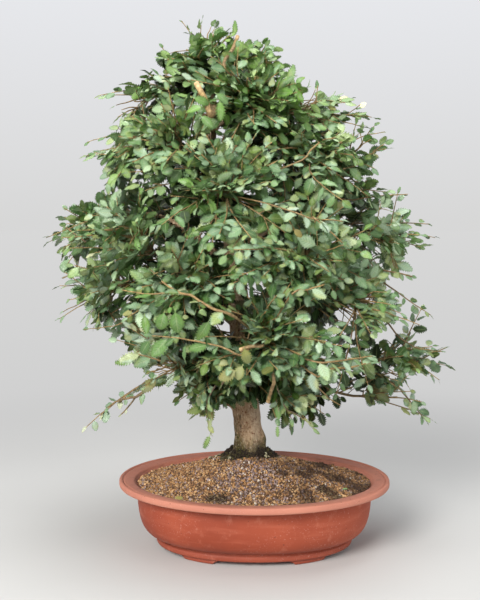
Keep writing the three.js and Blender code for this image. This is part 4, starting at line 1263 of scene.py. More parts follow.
# Single leaves: middle, how far the tip is turned from straight down, length, width, tone, freshness, dryness
SINGLE_LEAVES = [
    (-119, -170, 306, 5, 22, 0.36, 0.42, 0.8, 0), (-101, -177, 309, -15, 25, 0.54, 0.36, 0.75, 0),
    (-84, -182, 309, 5, 27, 0.56, 0.3, 0.75, 0), (-55, -189, 302, -30, 26, 0.5, 0.3, 0.75, 0),
    (-106, -158, 279, -40, 29, 0.48, 0.42, 0.65, 0), (-124, -150, 277, -35, 23, 0.48, 0.22, 0.3, 0),
    (-78, -170, 272, -15, 25, 0.43, 0.3, 0.5, 0), (-62, -170, 282, -75, 24, 0.4, 0.32, 0.75, 0),
    (-161, -60, 248, -88, 24, 0.24, 0.35, 0.7, 0), (-30, -178, 252, -62, 23, 0.5, 0.4, 0, 0.6),
    (-17, -180, 254, -25, 21, 0.48, 0.5, 0.3, 0.5), (-8, -182, 272, 14, 22, 0.42, 0.35, 0.3, 0.5),
    (-75, 10, 644, 5, 15, 0.42, 0.9, 0, 1), (-37, -136, 541, 8, 25, 0.3, 0.5, 0.9, 0),
    (-57, -134, 553, 70, 21, 0.4, 0.42, 0.8, 0), (-68, -128, 545, -72, 20, 0.42, 0.5, 0.9, 0),
    (-34, -136, 556, 60, 19, 0.44, 0.35, 0.6, 0), (-52, -138, 530, 50, 19, 0.44, 0.4, 0.7, 0),
    (113, 6, 574, 118, 18, 0.4, 1.0, 0, 1), (137, 6, 567, 150, 11, 0.55, 0.95, 0, 1),
    (49, -165, 407, 60, 14, 0.5, 0.5, 0, 1), (-60, -41, 142, -22, 24, 0.17, 0.6, 0.7, 0),
    (28, -95, 170, 3, 16, 0.18, 0.7, 0.8, 0), (58, -103, 180, 15, 11, 0.2, 0.7, 0.8, 0),
    (75, -96, 170, 50, 13, 0.18, 0.7, 0.8, 0), (222, 3, 174, 78, 19, 0.44, 0.2, 0, 0),
    (211, 3, 185, 88, 18, 0.5, 0.2, 0, 0),
]


def through(p0, p1, p2, p3, t):
    """A point between the middle two of four points, on a smooth curve through them."""
    q = 2 * p1 + (p2 - p0) * t + (2 * p0 - 5 * p1 + 4 * p2 - p3) * t * t
    return 0.5 * (q + (3 * p1 - p0 - 3 * p2 + p3) * t**3)


class Arm:
    """A twig through given points, which takes leaves as a shoot does."""

    def __init__(self, points, faces):
        pts = np.array(points, float)
        ends = np.concatenate([[2 * pts[0] - pts[1]], pts, [2 * pts[-1] - pts[-2]]])
        line = [through(*ends[i : i + 4], t) for i in range(len(pts) - 1) for t in (0.0, 0.34, 0.67)]
        self.line = np.array([*line, pts[-1]])
        steps = np.linalg.norm(np.diff(self.line, axis=0), axis=1)
        self.stops = np.concatenate([[0], np.cumsum(steps)])
        self.length = self.stops[-1]
        ahead = unit(pts[-1] - pts[0])
        self.faces = unit(faces - (faces @ ahead) * ahead)
        self.across = np.cross(self.faces, ahead)

    def point(self, a):
        return np.array([np.interp(a, self.stops, self.line[:, c]) for c in range(3)])

    def tangent(self, a):
        return unit(self.point(min(a + 3, self.length)) - self.point(max(a - 3, 0)))


WOOD = np.array(
    [path.point(t) for path in PATHS for t in np.linspace(0.25, 1, 14)]
    + [p.stem.point(t) for p in PLANS for t in np.linspace(0, 0.9, 12)]
)


def rooted(points):
    """The points with a way to them from near wood that lies behind them, and how long it is."""
    start = np.array(points[0], float)
    gaps = start - WOOD
    far = np.linalg.norm(gaps, axis=1)
    facing = units(gaps) @ unit(np.array(points[1], float) - start) if len(points) > 1 else 0.0
    wood = WOOD[np.argmin(far * (2.0 - facing) + 60 * (far < 8))]
    return [wood, mix(wood, start, 0.5) + UP * 2, *points], np.linalg.norm(wood - start)


# The thickness of a joined twig on its way, and for shoots that cover or fill an edge the leafy length, the
# step and the size of their leaves
JOIN_RADIUS, COVER_LENGTH, EDGE_LENGTH, COVER_STEP, EDGE_STEP = 1.5, 62, 52, 7.2, 7.4
COVER_LEAVES = (16, 19)


def add_arm(row, leaves, twigs, rng):
    """A twig of the table, thin on its way from the wood to its first point."""
    points, radii, joined, bark, spec = row
    way = 0.0
    if joined:
        points, way = rooted(points)
    arm = Arm(points, UP + np.array([0, -0.35, 0]) + rng.normal(0, 0.15, 3))
    share = np.clip((arm.stops - way) / (arm.length - way), 0, 1)
    thick = np.interp(share, np.linspace(0, 1, len(radii)), radii) * rng.uniform(0.92, 1.08, len(share))
    thick = thick * BARK_THICKNESS[bark]
    thick = np.where(joined & (arm.stops < way - 3), np.minimum(thick, JOIN_RADIUS), thick)
    sway = rng.normal(0, 0.3, (len(share), 3)) * (arm.stops > way)[:, None]
    # Cut wood shows at the very end
    twigs.add(arm.line + sway, thick, 8, young=mix(*bark, share**7 if bark == CUT_END else share))
    if spec:
        leafy(arm, leaves, rng, way * 0.5 + spec[0], *spec[1:])


def cover(target, leaves, twigs, rng):
    """Two leafy shoots from the nearest wood, one to each side of a place."""
    wood, _ = rooted([target])
    for turned in (rng.uniform(0.4, 0.9), -rng.uniform(0.4, 0.9)):
        aside = np.array([turned * 26, -6, rng.uniform(-16, 8)])
        points = [wood[0], wood[1] + aside * 0.2, np.array(target) + aside]
        arm = Arm(points, UP * 0.6 + np.array([0, -0.6, 0]))
        first = max(8, arm.length - COVER_LENGTH)
        reach = leafy(arm, leaves, rng, first, COVER_STEP, rng.uniform(*COVER_LEAVES), 0.12, 0.47)
        add_twig(twigs, arm.line, arm.stops / arm.length, reach, arm.length, (1.2, 0.45), 5, (0.4, 1.0))


def fill_edge(target, leaves, twigs, rng):
    """One leafy shoot from the nearest wood to a place on the outline."""
    wood, _ = rooted([target])
    arm = Arm([wood[0], wood[1], target], UP * 0.6 + np.array([0, -0.7, 0]) + rng.normal(0, 0.2, 3))
    count = len(arm.line)
    twigs.add(arm.line, np.linspace(1.1, 0.45, count), 5, young=np.linspace(0.4, 1, count))
    first = max(8, arm.length - EDGE_LENGTH)
    leafy(arm, leaves, rng, first, EDGE_STEP, rng.uniform(*COVER_LEAVES), 0.12, 0.55)


def add_leaf(row, leaves, rng):
    """A single leaf of the table, turned to the front."""
    x, y, z, turned, length, width, tone, age, dry = row
    angle = math.radians(turned)
    along = unit([math.sin(angle), 0.12, -math.cos(angle)])
    faces = np.array([0.1, -1, 0.35]) + rng.normal(0, 0.28, 3)
    shape = (rng.uniform(0.2, 0.9), rng.uniform(0.2, 0.7), rng.normal(0, 0.25))
    foot = np.array([x, y, z], float) - along * length / 2
    leaves.add(foot, along, faces, length, length * width * 0.92, *shape, tone, age, 0, dry)


def grow_arms():
    """All that is placed one by one, as one piece of leaves and one of twigs."""
    rng = np.random.default_rng(4242)
    leaves, twigs = Leaves(), Tubes()
    for row in ARMS:
        add_arm(row, leaves, twigs, rng)
    for target in COVERED:
        cover(target, leaves, twigs, rng)
    for target in EDGES:
        fill_edge(target, leaves, twigs, rng)
    for row in SINGLE_LEAVES:
        add_leaf(row, leaves, rng)
    belongs(leaves.build("single_leaves"), "leaf")
    belongs(twigs.build("single_twigs", TWIG), "bark")


grow_arms()


# The trunk with its main branches, as one skin
TRUNK_SIDES, TRUNK_TOP, BRANCH_SIDES, BRANCH_RINGS, ROOT_SIDES, ROOT_RINGS = 64, 582.0, 14, 22, 12, 8
COLLAR, COLLAR_FADE, SKIN_VOXEL = 2.2, 0.09, 0.00145
FLARE_FULL, FLARE_TURN, SWELLING, SWELLING_TURN, SWELLING_Z = 112, 0.6, 0.11, 0.35, 136
# The trunk's rows as its skin follows them, with the swelling just over the soil drawn closer
TRUNK_SKIN = [
    (-6.6, 25, 85, 24), (-7.2, 25, 108, 24.4), (-7.4, 25, 116, 21.9), (-7.2, 25, 124, 21.0),
    (-6.9, 25, 132, 20.7), (-7.3, 25, 140, 19.8), (-8.8, 24.8, 152, 19),
] + TRUNK[3:]
# The height of bark that leaves the skin where it is, and the cleft: its middle, lean, half width and depth
BARK_LEVEL, CLEFT_X, CLEFT_LEAN, CLEFT_WIDTH, CLEFT_DEPTH = 0.55, -19.5, 0.022, 1.7, 1.7
# Roots that run out from the flare and dive into the soil: azimuth and reach
ROOTS = [(200, 40), (262, 31), (318, 37), (350, 43), (20, 38), (95, 36), (150, 38)]
ROOT_START, ROOT_HEIGHTS, ROOT_RADII = 14, (117, 105), (8.0, 4.0)


def smooth_rows(rows, values):
    """Rows of x, y, z and radius at the given heights, on a smooth curve through the given rows."""
    r = np.array(rows, float)
    z = r[:, 2]
    found = []
    for h in values:
        i = int(np.clip(np.searchsorted(z, h) - 1, 0, len(z) - 2))
        t = (h - z[i]) / (z[i + 1] - z[i])
        q = through(*(r[int(np.clip(i + d, 0, len(z) - 1))] for d in (-1, 0, 1, 2)), t)
        q[2] = h
        found.append(q)
    return np.array(found)


def trunk_rings():
    """Rings of the trunk, with lobes in its flare and a swelling low on its right."""
    turn = np.arange(TRUNK_SIDES) / TRUNK_SIDES * 2 * np.pi
    heights = np.concatenate([np.arange(86, 180, 2.0), np.arange(180, TRUNK_TOP, 4.0), [TRUNK_TOP]])
    rings = []
    for x, y, z, r in smooth_rows(TRUNK_SKIN, heights):
        fade = rise(max(z, 118), FLARE_TOP, FLARE_FULL - FLARE_TOP)
        lobes = 1 + FLARE_DEPTH * fade * np.cos(FLARE_LOBES * turn + FLARE_TURN)
        lobes = lobes * mix(1.0, 1 + 0.05 * np.cos(2 * turn + z * 0.02), rise(z, FLARE_FULL, 20))
        bulge = np.clip(np.cos(turn + SWELLING_TURN), 0, 1) ** 4
        lobes = r * (lobes + SWELLING * bulge * bell(z, SWELLING_Z, 7))
        ring = [x + lobes * np.cos(turn), y + lobes * np.sin(turn), np.full(TRUNK_SIDES, z)]
        rings.append(np.stack(ring, -1))
    return rings


def branches_and_roots():
    """Rough tubes for the main branches with their collars, and for the roots."""
    tubes = Tubes()
    rng = np.random.default_rng(77)
    for m, path in enumerate(PATHS):
        stops = np.linspace(0, 1, BRANCH_RINGS)
        pts = np.array([path.point(t) for t in stops])
        pts[1:-1] += rng.normal(0, 0.5, (BRANCH_RINGS - 2, 3))
        radii = np.array([branch_radius(m, t) for t in stops])
        radii += COLLAR * np.exp(-stops / COLLAR_FADE) * (radii[0] / BRANCH_MOST)
        tubes.add(pts, radii, BRANCH_SIDES)
    stops = np.linspace(0, 1, ROOT_RINGS)
    for turned, reach in ROOTS:
        foot, end = (np.array([TRUNK_X, TRUNK_Y, 0]) + azimuth(turned) * far for far in (ROOT_START, reach))
        pts = np.array([mix(foot, end, t) + UP * mix(*ROOT_HEIGHTS, t**0.8) for t in stops])
        tubes.add(pts + rng.normal(0, 0.5, pts.shape), mix(*ROOT_RADII, stops), ROOT_SIDES)
    return tubes


def carve_bark(p, normal):
    """How high the bark stands from 0 to 1 at each point, and how far that moves the point in millimetres."""
    x, z = p[:, 0], p[:, 2]
    # Long furrows that bend and break, deeper on the thick wood
    bend = layers(p * [0.05, 0.05, 0.03], 2, 5)[:, None] * 3.0
    furrow = np.abs(layers(p * [0.24, 0.24, 0.055] + bend, 3, 11) - 0.5) * 2
    plates = layers(p * [0.11, 0.11, 0.07] + bend, 2, 23)
    relief = np.clip(0.28 + furrow * 1.5 + (plates - 0.5) * 0.4, 0, 1)
    heights = np.clip(z, 86, TRUNK_TOP)
    axis = np.array([trunk_point(h) for h in heights])
    thick = np.array([trunk_radius(h) for h in heights])
    on_trunk = np.clip(1.6 - np.linalg.norm((p - axis)[:, :2], axis=1) / (thick + 4), 0, 1)
    depth = 0.35 + 0.8 * on_trunk * np.clip(thick / 18, 0.2, 1)
    # A cleft down the left of the trunk's face, beside a ridge
    middle = CLEFT_X + CLEFT_LEAN * (z - FLARE_TOP) + 1.6 * np.sin(z * 0.13) + 0.7 * np.sin(z * 0.41)
    in_front = normal[:, 1] < 0.1
    cleft = bell(x, middle, CLEFT_WIDTH) * in_front * rise(z, 116, 10) * rise(z, 196, -22) * on_trunk
    relief = np.clip(relief - 0.75 * cleft, 0, 1)
    return relief, (relief - BARK_LEVEL) * depth - CLEFT_DEPTH * cleft


def stains(p, normal):
    """Moss and soot low on the trunk, moss up two ridges, pale bark down its face and a spot of lichen."""
    x, z = p[:, 0], p[:, 2]
    uneven = 14 * (layers(p * [0.09, 0.09, 0.05], 2, 37) - 0.5)
    low = rise(z, 143 + uneven, -20)
    moss = low * np.clip(0.75 + 0.3 * normal[:, 2] + 0.3 * (x < TRUNK_X), 0, 1)
    ridges = bell(x, -25, 5) * rise(z, 190, -50) + bell(x, 14, 4) * rise(z, 150 + uneven, -20)
    return {
        "moss": np.clip(moss + 0.9 * ridges, 0, 1),
        "dark": rise(z, 133 + uneven, -13),
        "pale": bell(x, 2, 6) * rise(z, 122, 15) * (normal[:, 1] < 0),
        "lichen": np.clip(bell(x, 15, 5) * bell(z, 119, 5) + 0.25 * low, 0, 1),
    }


def build_trunk():
    """One skin over the trunk, its branches and its roots, with the bark worked into it."""
    verts, quads, caps = closed_rings(trunk_rings())
    tubes, count = branches_and_roots(), len(verts)
    verts = np.concatenate([verts, *tubes.verts])
    quads = np.concatenate([quads, np.concatenate(tubes.quads) + count])
    tris = np.concatenate([caps, np.concatenate(tubes.tris) + count])
    rough = new_mesh("trunk_rough", verts, [quads, tris], None)
    change = rough.modifiers.new("skin", "REMESH")
    change.mode, change.voxel_size, change.use_smooth_shade = "VOXEL", SKIN_VOXEL, True
    me = applied(rough)
    bpy.data.objects.remove(rough)
    co, normal = read_points(me), read_points(me, "normal")
    p = (co - MIDDLE) * 1000
    relief, shift = carve_bark(p, normal)
    co += normal * shift[:, None] * 0.001
    me.vertices.foreach_set("co", co.astype(np.float32).ravel())
    me.update()
    point_data(me, relief=relief, **stains(p, normal))
    me.polygons.foreach_set("use_smooth", np.full(len(me.polygons), True))
    return belongs(place_mesh("trunk_and_branches", me, BARK), "bark", "trunk")


build_trunk()


# The pot
def half_depth(width):
    """Half the depth of the pot where it is so wide: a fixed step less, down to the base."""
    wide = width >= BASE_HALF_WIDTH
    return np.where(wide, width - POT_STEP, width * (BASE_HALF_WIDTH - POT_STEP) / BASE_HALF_WIDTH)


def oval(width, z, count, square=2.0):
    """A ring of the pot, squarer with a higher power."""
    t = np.arange(count) / count * 2 * np.pi
    c, s = np.cos(t), np.sin(t)
    x = width * np.sign(c) * np.abs(c) ** (2 / square)
    y = half_depth(width) * np.sign(s) * np.abs(s) ** (2 / square)
    return np.stack([x, y, np.full(count, float(z))], -1)


# Half-width and height of the pot, outside from the underside up, over the rim and down inside
POT_PROFILE = [
    (40, 6), (90, 6), (120, 6), (125.2, 6.1), (126.7, 6.8), (127.4, 8), (127.6, 9.6), (127.6, 11.4),
    (127.4, 12.6), (126.8, 13.4), (125.6, 13.9), (124.6, 14.5), (124.2, 15.4), (124.4, 16.4), (125.2, 17.1),
    (126.6, 17.5), (128.4, 17.8), (131.6, 18.6), (135.2, 20.2), (138.8, 22.8), (142, 26.2), (144.8, 30.6),
    (147, 36), (148.8, 42.5), (150.1, 50), (151, 58), (151.6, 66), (151.8, 72), (151.7, 75.4), (151.1, 76.2),
    (150.8, 77.2), (151.1, 78.8), (152, 79.9), (153.6, 80.4), (157, 80.5),
    (163, 80.5), (169, 80.5), (172.4, 80.6), (174, 81), (174.8, 82), (175, 83.6), (175, 85.8),
    (174.8, 87.4), (174.3, 88.4), (173.4, 88.95), (172.2, 89.05), (171.2, 88.8), (170.6, 88.2),
    (170.1, 87.5), (169.6, 87.3), (169, 87.7), (168.4, 88.1), (167.4, 88.2), (164, 87.9), (160, 87.5),
    (157.4, 87.1), (155.8, 86.7), (155, 85.9), (154.6, 84.8), (154.2, 83.6), (152.4, 81.9), (149.4, 80.5),
    (147, 79), (146.3, 75), (145.6, 68), (144.2, 58), (141.4, 47), (137.6, 37), (132.4, 27.4),
    (126, 19.4), (119.5, 14), (112, 12.2), (90, 12), (40, 12),
]
POT_SIDES, DRAIN_SIDES, FOOT_STEPS, SHARP_FROM = 176, 48, 18, 38
# The body is squarer than an oval up to the neck; the walls sway a little, as on thrown clay
POT_SQUARE, NECK, NECK_FADE, SWAY, SWAY_FROM = 2.13, 60, 18, 0.0035, 14
RIM_HALF_WIDTH, RIM_HALF_DEPTH, RIM_UNDERSIDE = 175, 135, 79.6
# A foot, ring by ring: height, first and last angle round the pot, and reach
FOOT_RINGS = [
    (0.0, 46.5, 64.5, 120.6), (0.5, 45.4, 65.4, 122.2), (1.6, 44.8, 66, 123), (3.2, 44, 66.6, 123.2),
    (4.2, 42.6, 67.8, 122.7), (4.9, 41.2, 69, 122.5), (5.8, 39.6, 70.4, 123.4), (6.8, 37.6, 72, 125.2),
    (7.6, 36.4, 72.8, 126.2), (8.4, 36, 73.2, 126.2),
]
# Its inner side, how much that leans, and its share in depth
FOOT_INNER, FOOT_SLOPE, FOOT_OVAL = 109.5, 0.3, 0.69


def foot_ring(sx, sy, z, first, last, outer):
    """Out along the foot and back along its inner side."""
    there = [(math.radians(mix(first, last, i / FOOT_STEPS)), outer) for i in range(FOOT_STEPS + 1)]
    back = [(turn, FOOT_INNER - z * FOOT_SLOPE) for turn, _ in reversed(there)]
    ring = [(sx * r * math.cos(turn), sy * r * FOOT_OVAL * math.sin(turn), z) for turn, r in there + back]
    return np.array(ring[::-1] if sx * sy < 0 else ring)


def foot(sx, sy):
    """One foot of the four, with its rounded edges."""
    rings = [foot_ring(sx, sy, *row) for row in FOOT_RINGS]
    n = len(rings[0])
    strip = []
    for base, turned in ((0, True), ((len(rings) - 1) * n, False)):
        for s in range(FOOT_STEPS):
            quad = (base + s, base + s + 1, base + n - 2 - s, base + n - 1 - s)
            strip.append(quad[::-1] if turned else quad)
    return new_mesh("foot", np.concatenate(rings), [ring_faces(len(rings), n), np.array(strip)], CLAY)


def drain_hole(side):
    """A round tool that cuts one hole through the floor of the pot."""
    bpy.ops.mesh.primitive_cylinder_add(vertices=DRAIN_SIDES, radius=DRAIN_RADIUS / 1000, depth=0.04)
    bpy.context.object.location = Vector(metres([side * DRAIN_OFFSET, 0, 9]))
    return bpy.context.object


def build_pot():
    """The turned body with its drain holes cut and its feet joined on."""
    turn = max(range(len(POT_PROFILE)), key=lambda i: POT_PROFILE[i][0])
    rings = []
    for row, (width, z) in enumerate(POT_PROFILE):
        outside_body = row < turn and z > FOOT_HEIGHT
        square = mix(POT_SQUARE, 2.0, clamp((z - NECK) / NECK_FADE)) if outside_body else 2.0
        rings.append(oval(float(width), float(z), POT_SIDES, square))
    verts, quads, caps = closed_rings(rings)
    sway = layers(verts * [0.012, 0.012, 0.02] + 9.0, 2, 41) - 0.5
    verts[:, :2] *= (1 + sway * SWAY * (verts[:, 2] > SWAY_FROM))[:, None]
    pot = new_mesh("pot_rough", verts, [quads, caps], CLAY)
    tools = [(drain_hole(side), "DIFFERENCE") for side in (-1, 1)]
    tools += [(foot(sx, sy), "UNION") for sx in (1, -1) for sy in (1, -1)]
    for tool, how in tools:
        change = pot.modifiers.new("join", "BOOLEAN")
        change.object, change.operation, change.solver = tool, how, "EXACT"
    me = applied(pot)
    for rough in (pot, *(tool for tool, _ in tools)):
        bpy.data.objects.remove(rough)
    p = (read_points(me) - MIDDLE) * 1000
    z = p[:, 2]
    rim = rise(z, RIM_UNDERSIDE, 1.4)
    width = np.hypot(p[:, 0] / RIM_HALF_WIDTH, p[:, 1] / RIM_HALF_DEPTH)
    point_data(me, rim=rim, low=rise(z, 26, -14), inner=rise(width, 0.985, -0.06) * rim)
    me.polygons.foreach_set("use_smooth", np.full(len(me.polygons), True))
    me.set_sharp_from_angle(angle=math.radians(SHARP_FROM))
    return belongs(place_mesh("oval_pot", me, CLAY), "clay", "pot")


build_pot()


# The soil and its grains
BED_HALF_WIDTH, BED_HALF_DEPTH, BED_SIDES, BED_RINGS, BED_EDGE = 150.0, 110.0, 144, 64, (145.9, 79)
BED_WALL = [
    (111.4, 12.7), (118.4, 14.6), (124.4, 19.6), (131.0, 27.6), (136.4, 37.4), (143.2, 58), (144.6, 70),
    (145.4, 76),
]
# Hollows where grains have been washed aside, darker than the soil round them: x, y, radius, depth
HOLLOWS = [
    (-51, -83, 8, 2.9), (-39, -87, 9, 3.2), (90, -52, 11, 3.4), (99, -66, 9, 3.0), (62, -26, 9, 1.6),
    (6, -8, 9, 1.2), (34, -34, 9, 1.0), (104, -10, 20, 1.0),
]
GRAIN_STEP, GRAIN_SHIFT, GRAIN_SIZE, BIG_SHARE, TRUNK_ROOM = 2.56, 0.45, (0.95, 1.6), 0.06, 21
# Clumps of moss round the trunk, pale ones on the left of the soil, and the three palest spots: x, y, radius
CLUMPS, PALE_CLUMPS, PALE_PLACE = 1300, 60, (-50, 30)
PALEST = [(18, 5, 3.6), (15, 3, 2.4), (-33, 6, 2.2)]
# Fallen leaves: x, y, azimuth, length, width, tone, freshness, dryness
FALLEN_LEAVES = [(-90, -82, 20, 13, 0.5, 0.55, 0, 1), (113, -43, 160, 9, 0.45, 0.75, 0.9, 0)]


def soil_height(x, y):
    """The mound as a smooth form."""
    edge = np.minimum(1, (x / 149) ** 2 + (y / 109) ** 2)
    near = np.exp(-((x - TRUNK_X) ** 2 + (y - TRUNK_Y) ** 2) / (2 * SOIL_SPREAD**2))
    lumps = 1.6 * np.sin(x * 0.061 + 1) * np.sin(y * 0.073 + 2)
    return SOIL_EDGE + (SOIL_RISE * near + lumps) * (1 - edge)


def surface(x, y):
    """The mound with its unevenness, its raised edge and its hollows."""
    z = soil_height(x, y)
    flat = np.stack([x, y, np.zeros_like(x)], -1)
    out = np.hypot(x / BED_HALF_WIDTH, y / BED_HALF_DEPTH)
    z = z + (layers(flat * 0.055 + 31, 3, 61) - 0.5) * 3.4 * np.clip((1.0 - out) * 6, 0.15, 1)
    z = z + 1.3 * rise(out, 0.9, 0.1)
    for hx, hy, r, deep in HOLLOWS:
        z = z - deep * np.exp(-(((x - hx) ** 2 + (y - hy) ** 2) / (r * r)))
    return z


def surface_at(x, y):
    """The height of the mound at one place."""
    return surface(np.array([float(x)]), np.array([float(y)]))[0]


def soil_shade_and_darkening(x, y):
    """Painted shade in patches that grow towards the right, and darker soil in the hollows and round the
    trunk.
    """
    flat = np.stack([x, y, np.zeros_like(x)], -1)
    # Painted shade: patches that darken the soil more towards the right
    d = 0.05 + 1.1 * rise(x, -6, 110) * np.clip((layers(flat * 0.045 + 7, 3, 91) - 0.33) * 3.6, 0, 1)
    for hx, hy, r, deep in HOLLOWS:
        d = d + 0.44 * deep * np.exp(-((((x - hx) ** 2 + (y - hy) ** 2) / (r * r)) ** 2))
    near = np.hypot(x - TRUNK_X, (y - TRUNK_Y) * np.where(y < TRUNK_Y, 1.4, 1.1))
    d = d + 1.2 * np.clip((44 - near + 10 * (layers(flat * 0.08 + 3, 2, 17) - 0.5)) / 9, 0, 1)
    return np.clip(d, 0, 1)


def build_soil():
    """The bed that fills the pot up to the trunk."""
    rings = [oval(width, z, BED_SIDES) for width, z in BED_WALL]
    edge = oval(*BED_EDGE, BED_SIDES)
    for share in np.concatenate([[1.0], np.linspace(0.985, 0.02, BED_RINGS)]):
        x, y = mix(TRUNK_X, edge[:, 0], share), mix(TRUNK_Y, edge[:, 1], share)
        z = surface(x, y) if share < 1 else np.full(BED_SIDES, float(BED_EDGE[1]))
        rings.append(np.stack([x, y, z], -1))
    verts, quads, caps = closed_rings(rings)
    data = {"shade_and_darkening": soil_shade_and_darkening(verts[:, 0], verts[:, 1])}
    belongs(new_mesh("soil_bed", verts, [quads, caps], SOIL, data), "soil", "soil")


def grain_shape():
    """A grain with eight corners, and its triangles."""
    points = units(np.array([(x, y, z) for z in (-1, 1) for y in (-1, 1) for x in (-1, 1)], float))
    quads = [(0, 2, 3, 1), (4, 5, 7, 6), (0, 1, 5, 4), (2, 6, 7, 3), (0, 4, 6, 2), (1, 3, 7, 5)]
    tris = [t for a, b, c, d in quads for t in ((a, b, c), (a, c, d))]
    return points, np.array(tris, np.int32)


def random_turns(rng, n):
    """Turns in space from random quaternions."""
    q = rng.normal(0, 1, (n, 4))
    q /= np.linalg.norm(q, axis=1, keepdims=True)
    w, a, b, c = q.T
    rows = [
        1 - 2 * (b * b + c * c), 2 * (a * b - w * c), 2 * (a * c + w * b),
        2 * (a * b + w * c), 1 - 2 * (a * a + c * c), 2 * (b * c - w * a),
        2 * (a * c - w * b), 2 * (b * c + w * a), 1 - 2 * (a * a + b * b),
    ]
    return np.stack(rows, -1).reshape(n, 3, 3)


def grain_places(rng):
    """Places close together all over the bed, a little out of line."""
    xs = np.arange(-BED_HALF_WIDTH, BED_HALF_WIDTH, GRAIN_STEP)
    ys = np.arange(-BED_HALF_DEPTH, BED_HALF_DEPTH, GRAIN_STEP * 0.866)
    gx, gy = np.meshgrid(xs, ys)
    gx = gx + (np.arange(len(ys)) % 2)[:, None] * GRAIN_STEP / 2
    x = gx.ravel() + rng.normal(0, GRAIN_SHIFT, gx.size)
    y = gy.ravel() + rng.normal(0, GRAIN_SHIFT, gx.size)
    keep = (x / (BED_HALF_WIDTH + 0.4)) ** 2 + (y / (BED_HALF_DEPTH + 0.4)) ** 2 < 1
    keep &= np.hypot(x - TRUNK_X, y - TRUNK_Y) > TRUNK_ROOM
    return x[keep], y[keep]


def build_grains():
    """Single grains all over the bed, each of one kind."""
    rng = np.random.default_rng(505)
    x, y = grain_places(rng)
    n = len(x)
    size = rng.uniform(*GRAIN_SIZE, n) * (1 + 0.35 * (rng.random(n) < BIG_SHARE))
    z = surface(x, y) + size * rng.uniform(0.15, 0.75, n)
    z += 1.2 * (rng.random(n) < BIG_SHARE)
    base, tris = grain_shape()
    shape = base[None] * (1 + rng.normal(0, 0.12, (n, len(base), 1))) + rng.normal(0, 0.13, (n, len(base), 3))
    stretch = rng.uniform(0.78, 1.2, (n, 1, 3))
    shape = shape * stretch * size[:, None, None] * 1.08
    points = np.einsum("nij,nkj->nki", random_turns(rng, n), shape) + np.stack([x, y, z], -1)[:, None]
    # Pale grains, most of them in front of the trunk
    tone = rng.random(n)
    patch = layers(np.stack([x, y, z * 0], -1) * 0.04, 2, 71)
    grey = np.exp(-(((x + 2) / 40) ** 2 + ((y + 45) / 45) ** 2))
    pale = rng.random(n) < 0.15 + 0.45 * grey + 0.25 * (patch - 0.5)
    tone = np.where(pale, rng.uniform(0.72, 1, n), tone * 0.72)
    shade_and_darkening = np.clip(soil_shade_and_darkening(x, y) + rng.normal(0, 0.1, n), 0, 1)
    data = {"tone": np.repeat(tone, len(base)), "shade_and_darkening": np.repeat(shade_and_darkening, len(base))}
    # Each grain has its own place in the map
    columns = int(math.ceil(math.sqrt(n)))
    here = np.stack([np.arange(n) % columns, np.arange(n) // columns], -1)[:, None, :]
    uv = (here + 0.5 + base[None, :, :2] * 0.42) / columns
    faces = [copies(base, tris, points)]
    ob = new_mesh("soil_grains", points.reshape(-1, 3), faces, GRAIN, data, uv.reshape(-1, 2), smooth=False)
    belongs(ob, "soil")


def rounded(rng, base, sizes, spread):
    """Copies of a shape, each turned and uneven."""
    n = len(sizes)
    shape = base[None] * (1 + rng.normal(0, spread, (n, len(base), 1)))
    shape = shape * rng.uniform(0.7, 1.2, (n, 1, 3)) * sizes[:, None, None]
    q = units(rng.normal(0, 1, (n, 3)))
    other = units(np.cross(q, rng.normal(0, 1, (n, 3))))
    turn = np.stack([q, other, np.cross(q, other)], 1)
    return np.einsum("nij,nkj->nki", turn, shape)


def build_clumps():
    """Dark moss and litter heaped round the foot of the trunk, and pale moss beside it."""
    rng = np.random.default_rng(606)
    n = CLUMPS + PALE_CLUMPS
    turn = rng.uniform(0, 2 * np.pi, n)
    spread = 0.75 + 0.5 * np.sin(turn * 2 + 0.6) ** 2
    far = TRUNK_ROOM + 18 * np.abs(rng.normal(0, 0.6, n)) * spread
    x = TRUNK_X + far * np.cos(turn) * 1.12
    y = TRUNK_Y + far * np.sin(turn) * np.where(np.sin(turn) < 0, 0.84, 1)
    x[CLUMPS:] = rng.normal(PALE_PLACE[0], 5, PALE_CLUMPS)
    y[CLUMPS:] = rng.normal(PALE_PLACE[1], 1.6, PALE_CLUMPS)
    sizes = rng.uniform(0.9, 2.3, n) * np.clip(1.4 - (far - TRUNK_ROOM) / 28, 0.5, 1.4)
    heap = np.clip(9 - (far - TRUNK_ROOM) / 1.7, 0, 9) * rng.random(n) ** 0.8
    heap[CLUMPS:] = 0
    z = surface(x, y) + sizes * 0.5 + heap
    base, tris = grain_shape()
    points = rounded(rng, base, sizes, 0.2) + np.stack([x, y, z], -1)[:, None]
    kind = np.clip(rng.random(n) * 1.1 - 0.35 + 0.25 * (x < TRUNK_X), 0, 1)
    for px, py, r in PALEST:
        kind[np.hypot(x - px, y - py) < r] = PALE_KIND
    kind[CLUMPS:] = np.where(rng.random(PALE_CLUMPS) < 0.6, PALE_KIND, GREEN_KIND)
    data = {"green": np.repeat(kind, len(base))}
    faces = [copies(base, tris, points)]
    belongs(new_mesh("moss_clumps", points.reshape(-1, 3), faces, MOSS, data), "soil", "soil")


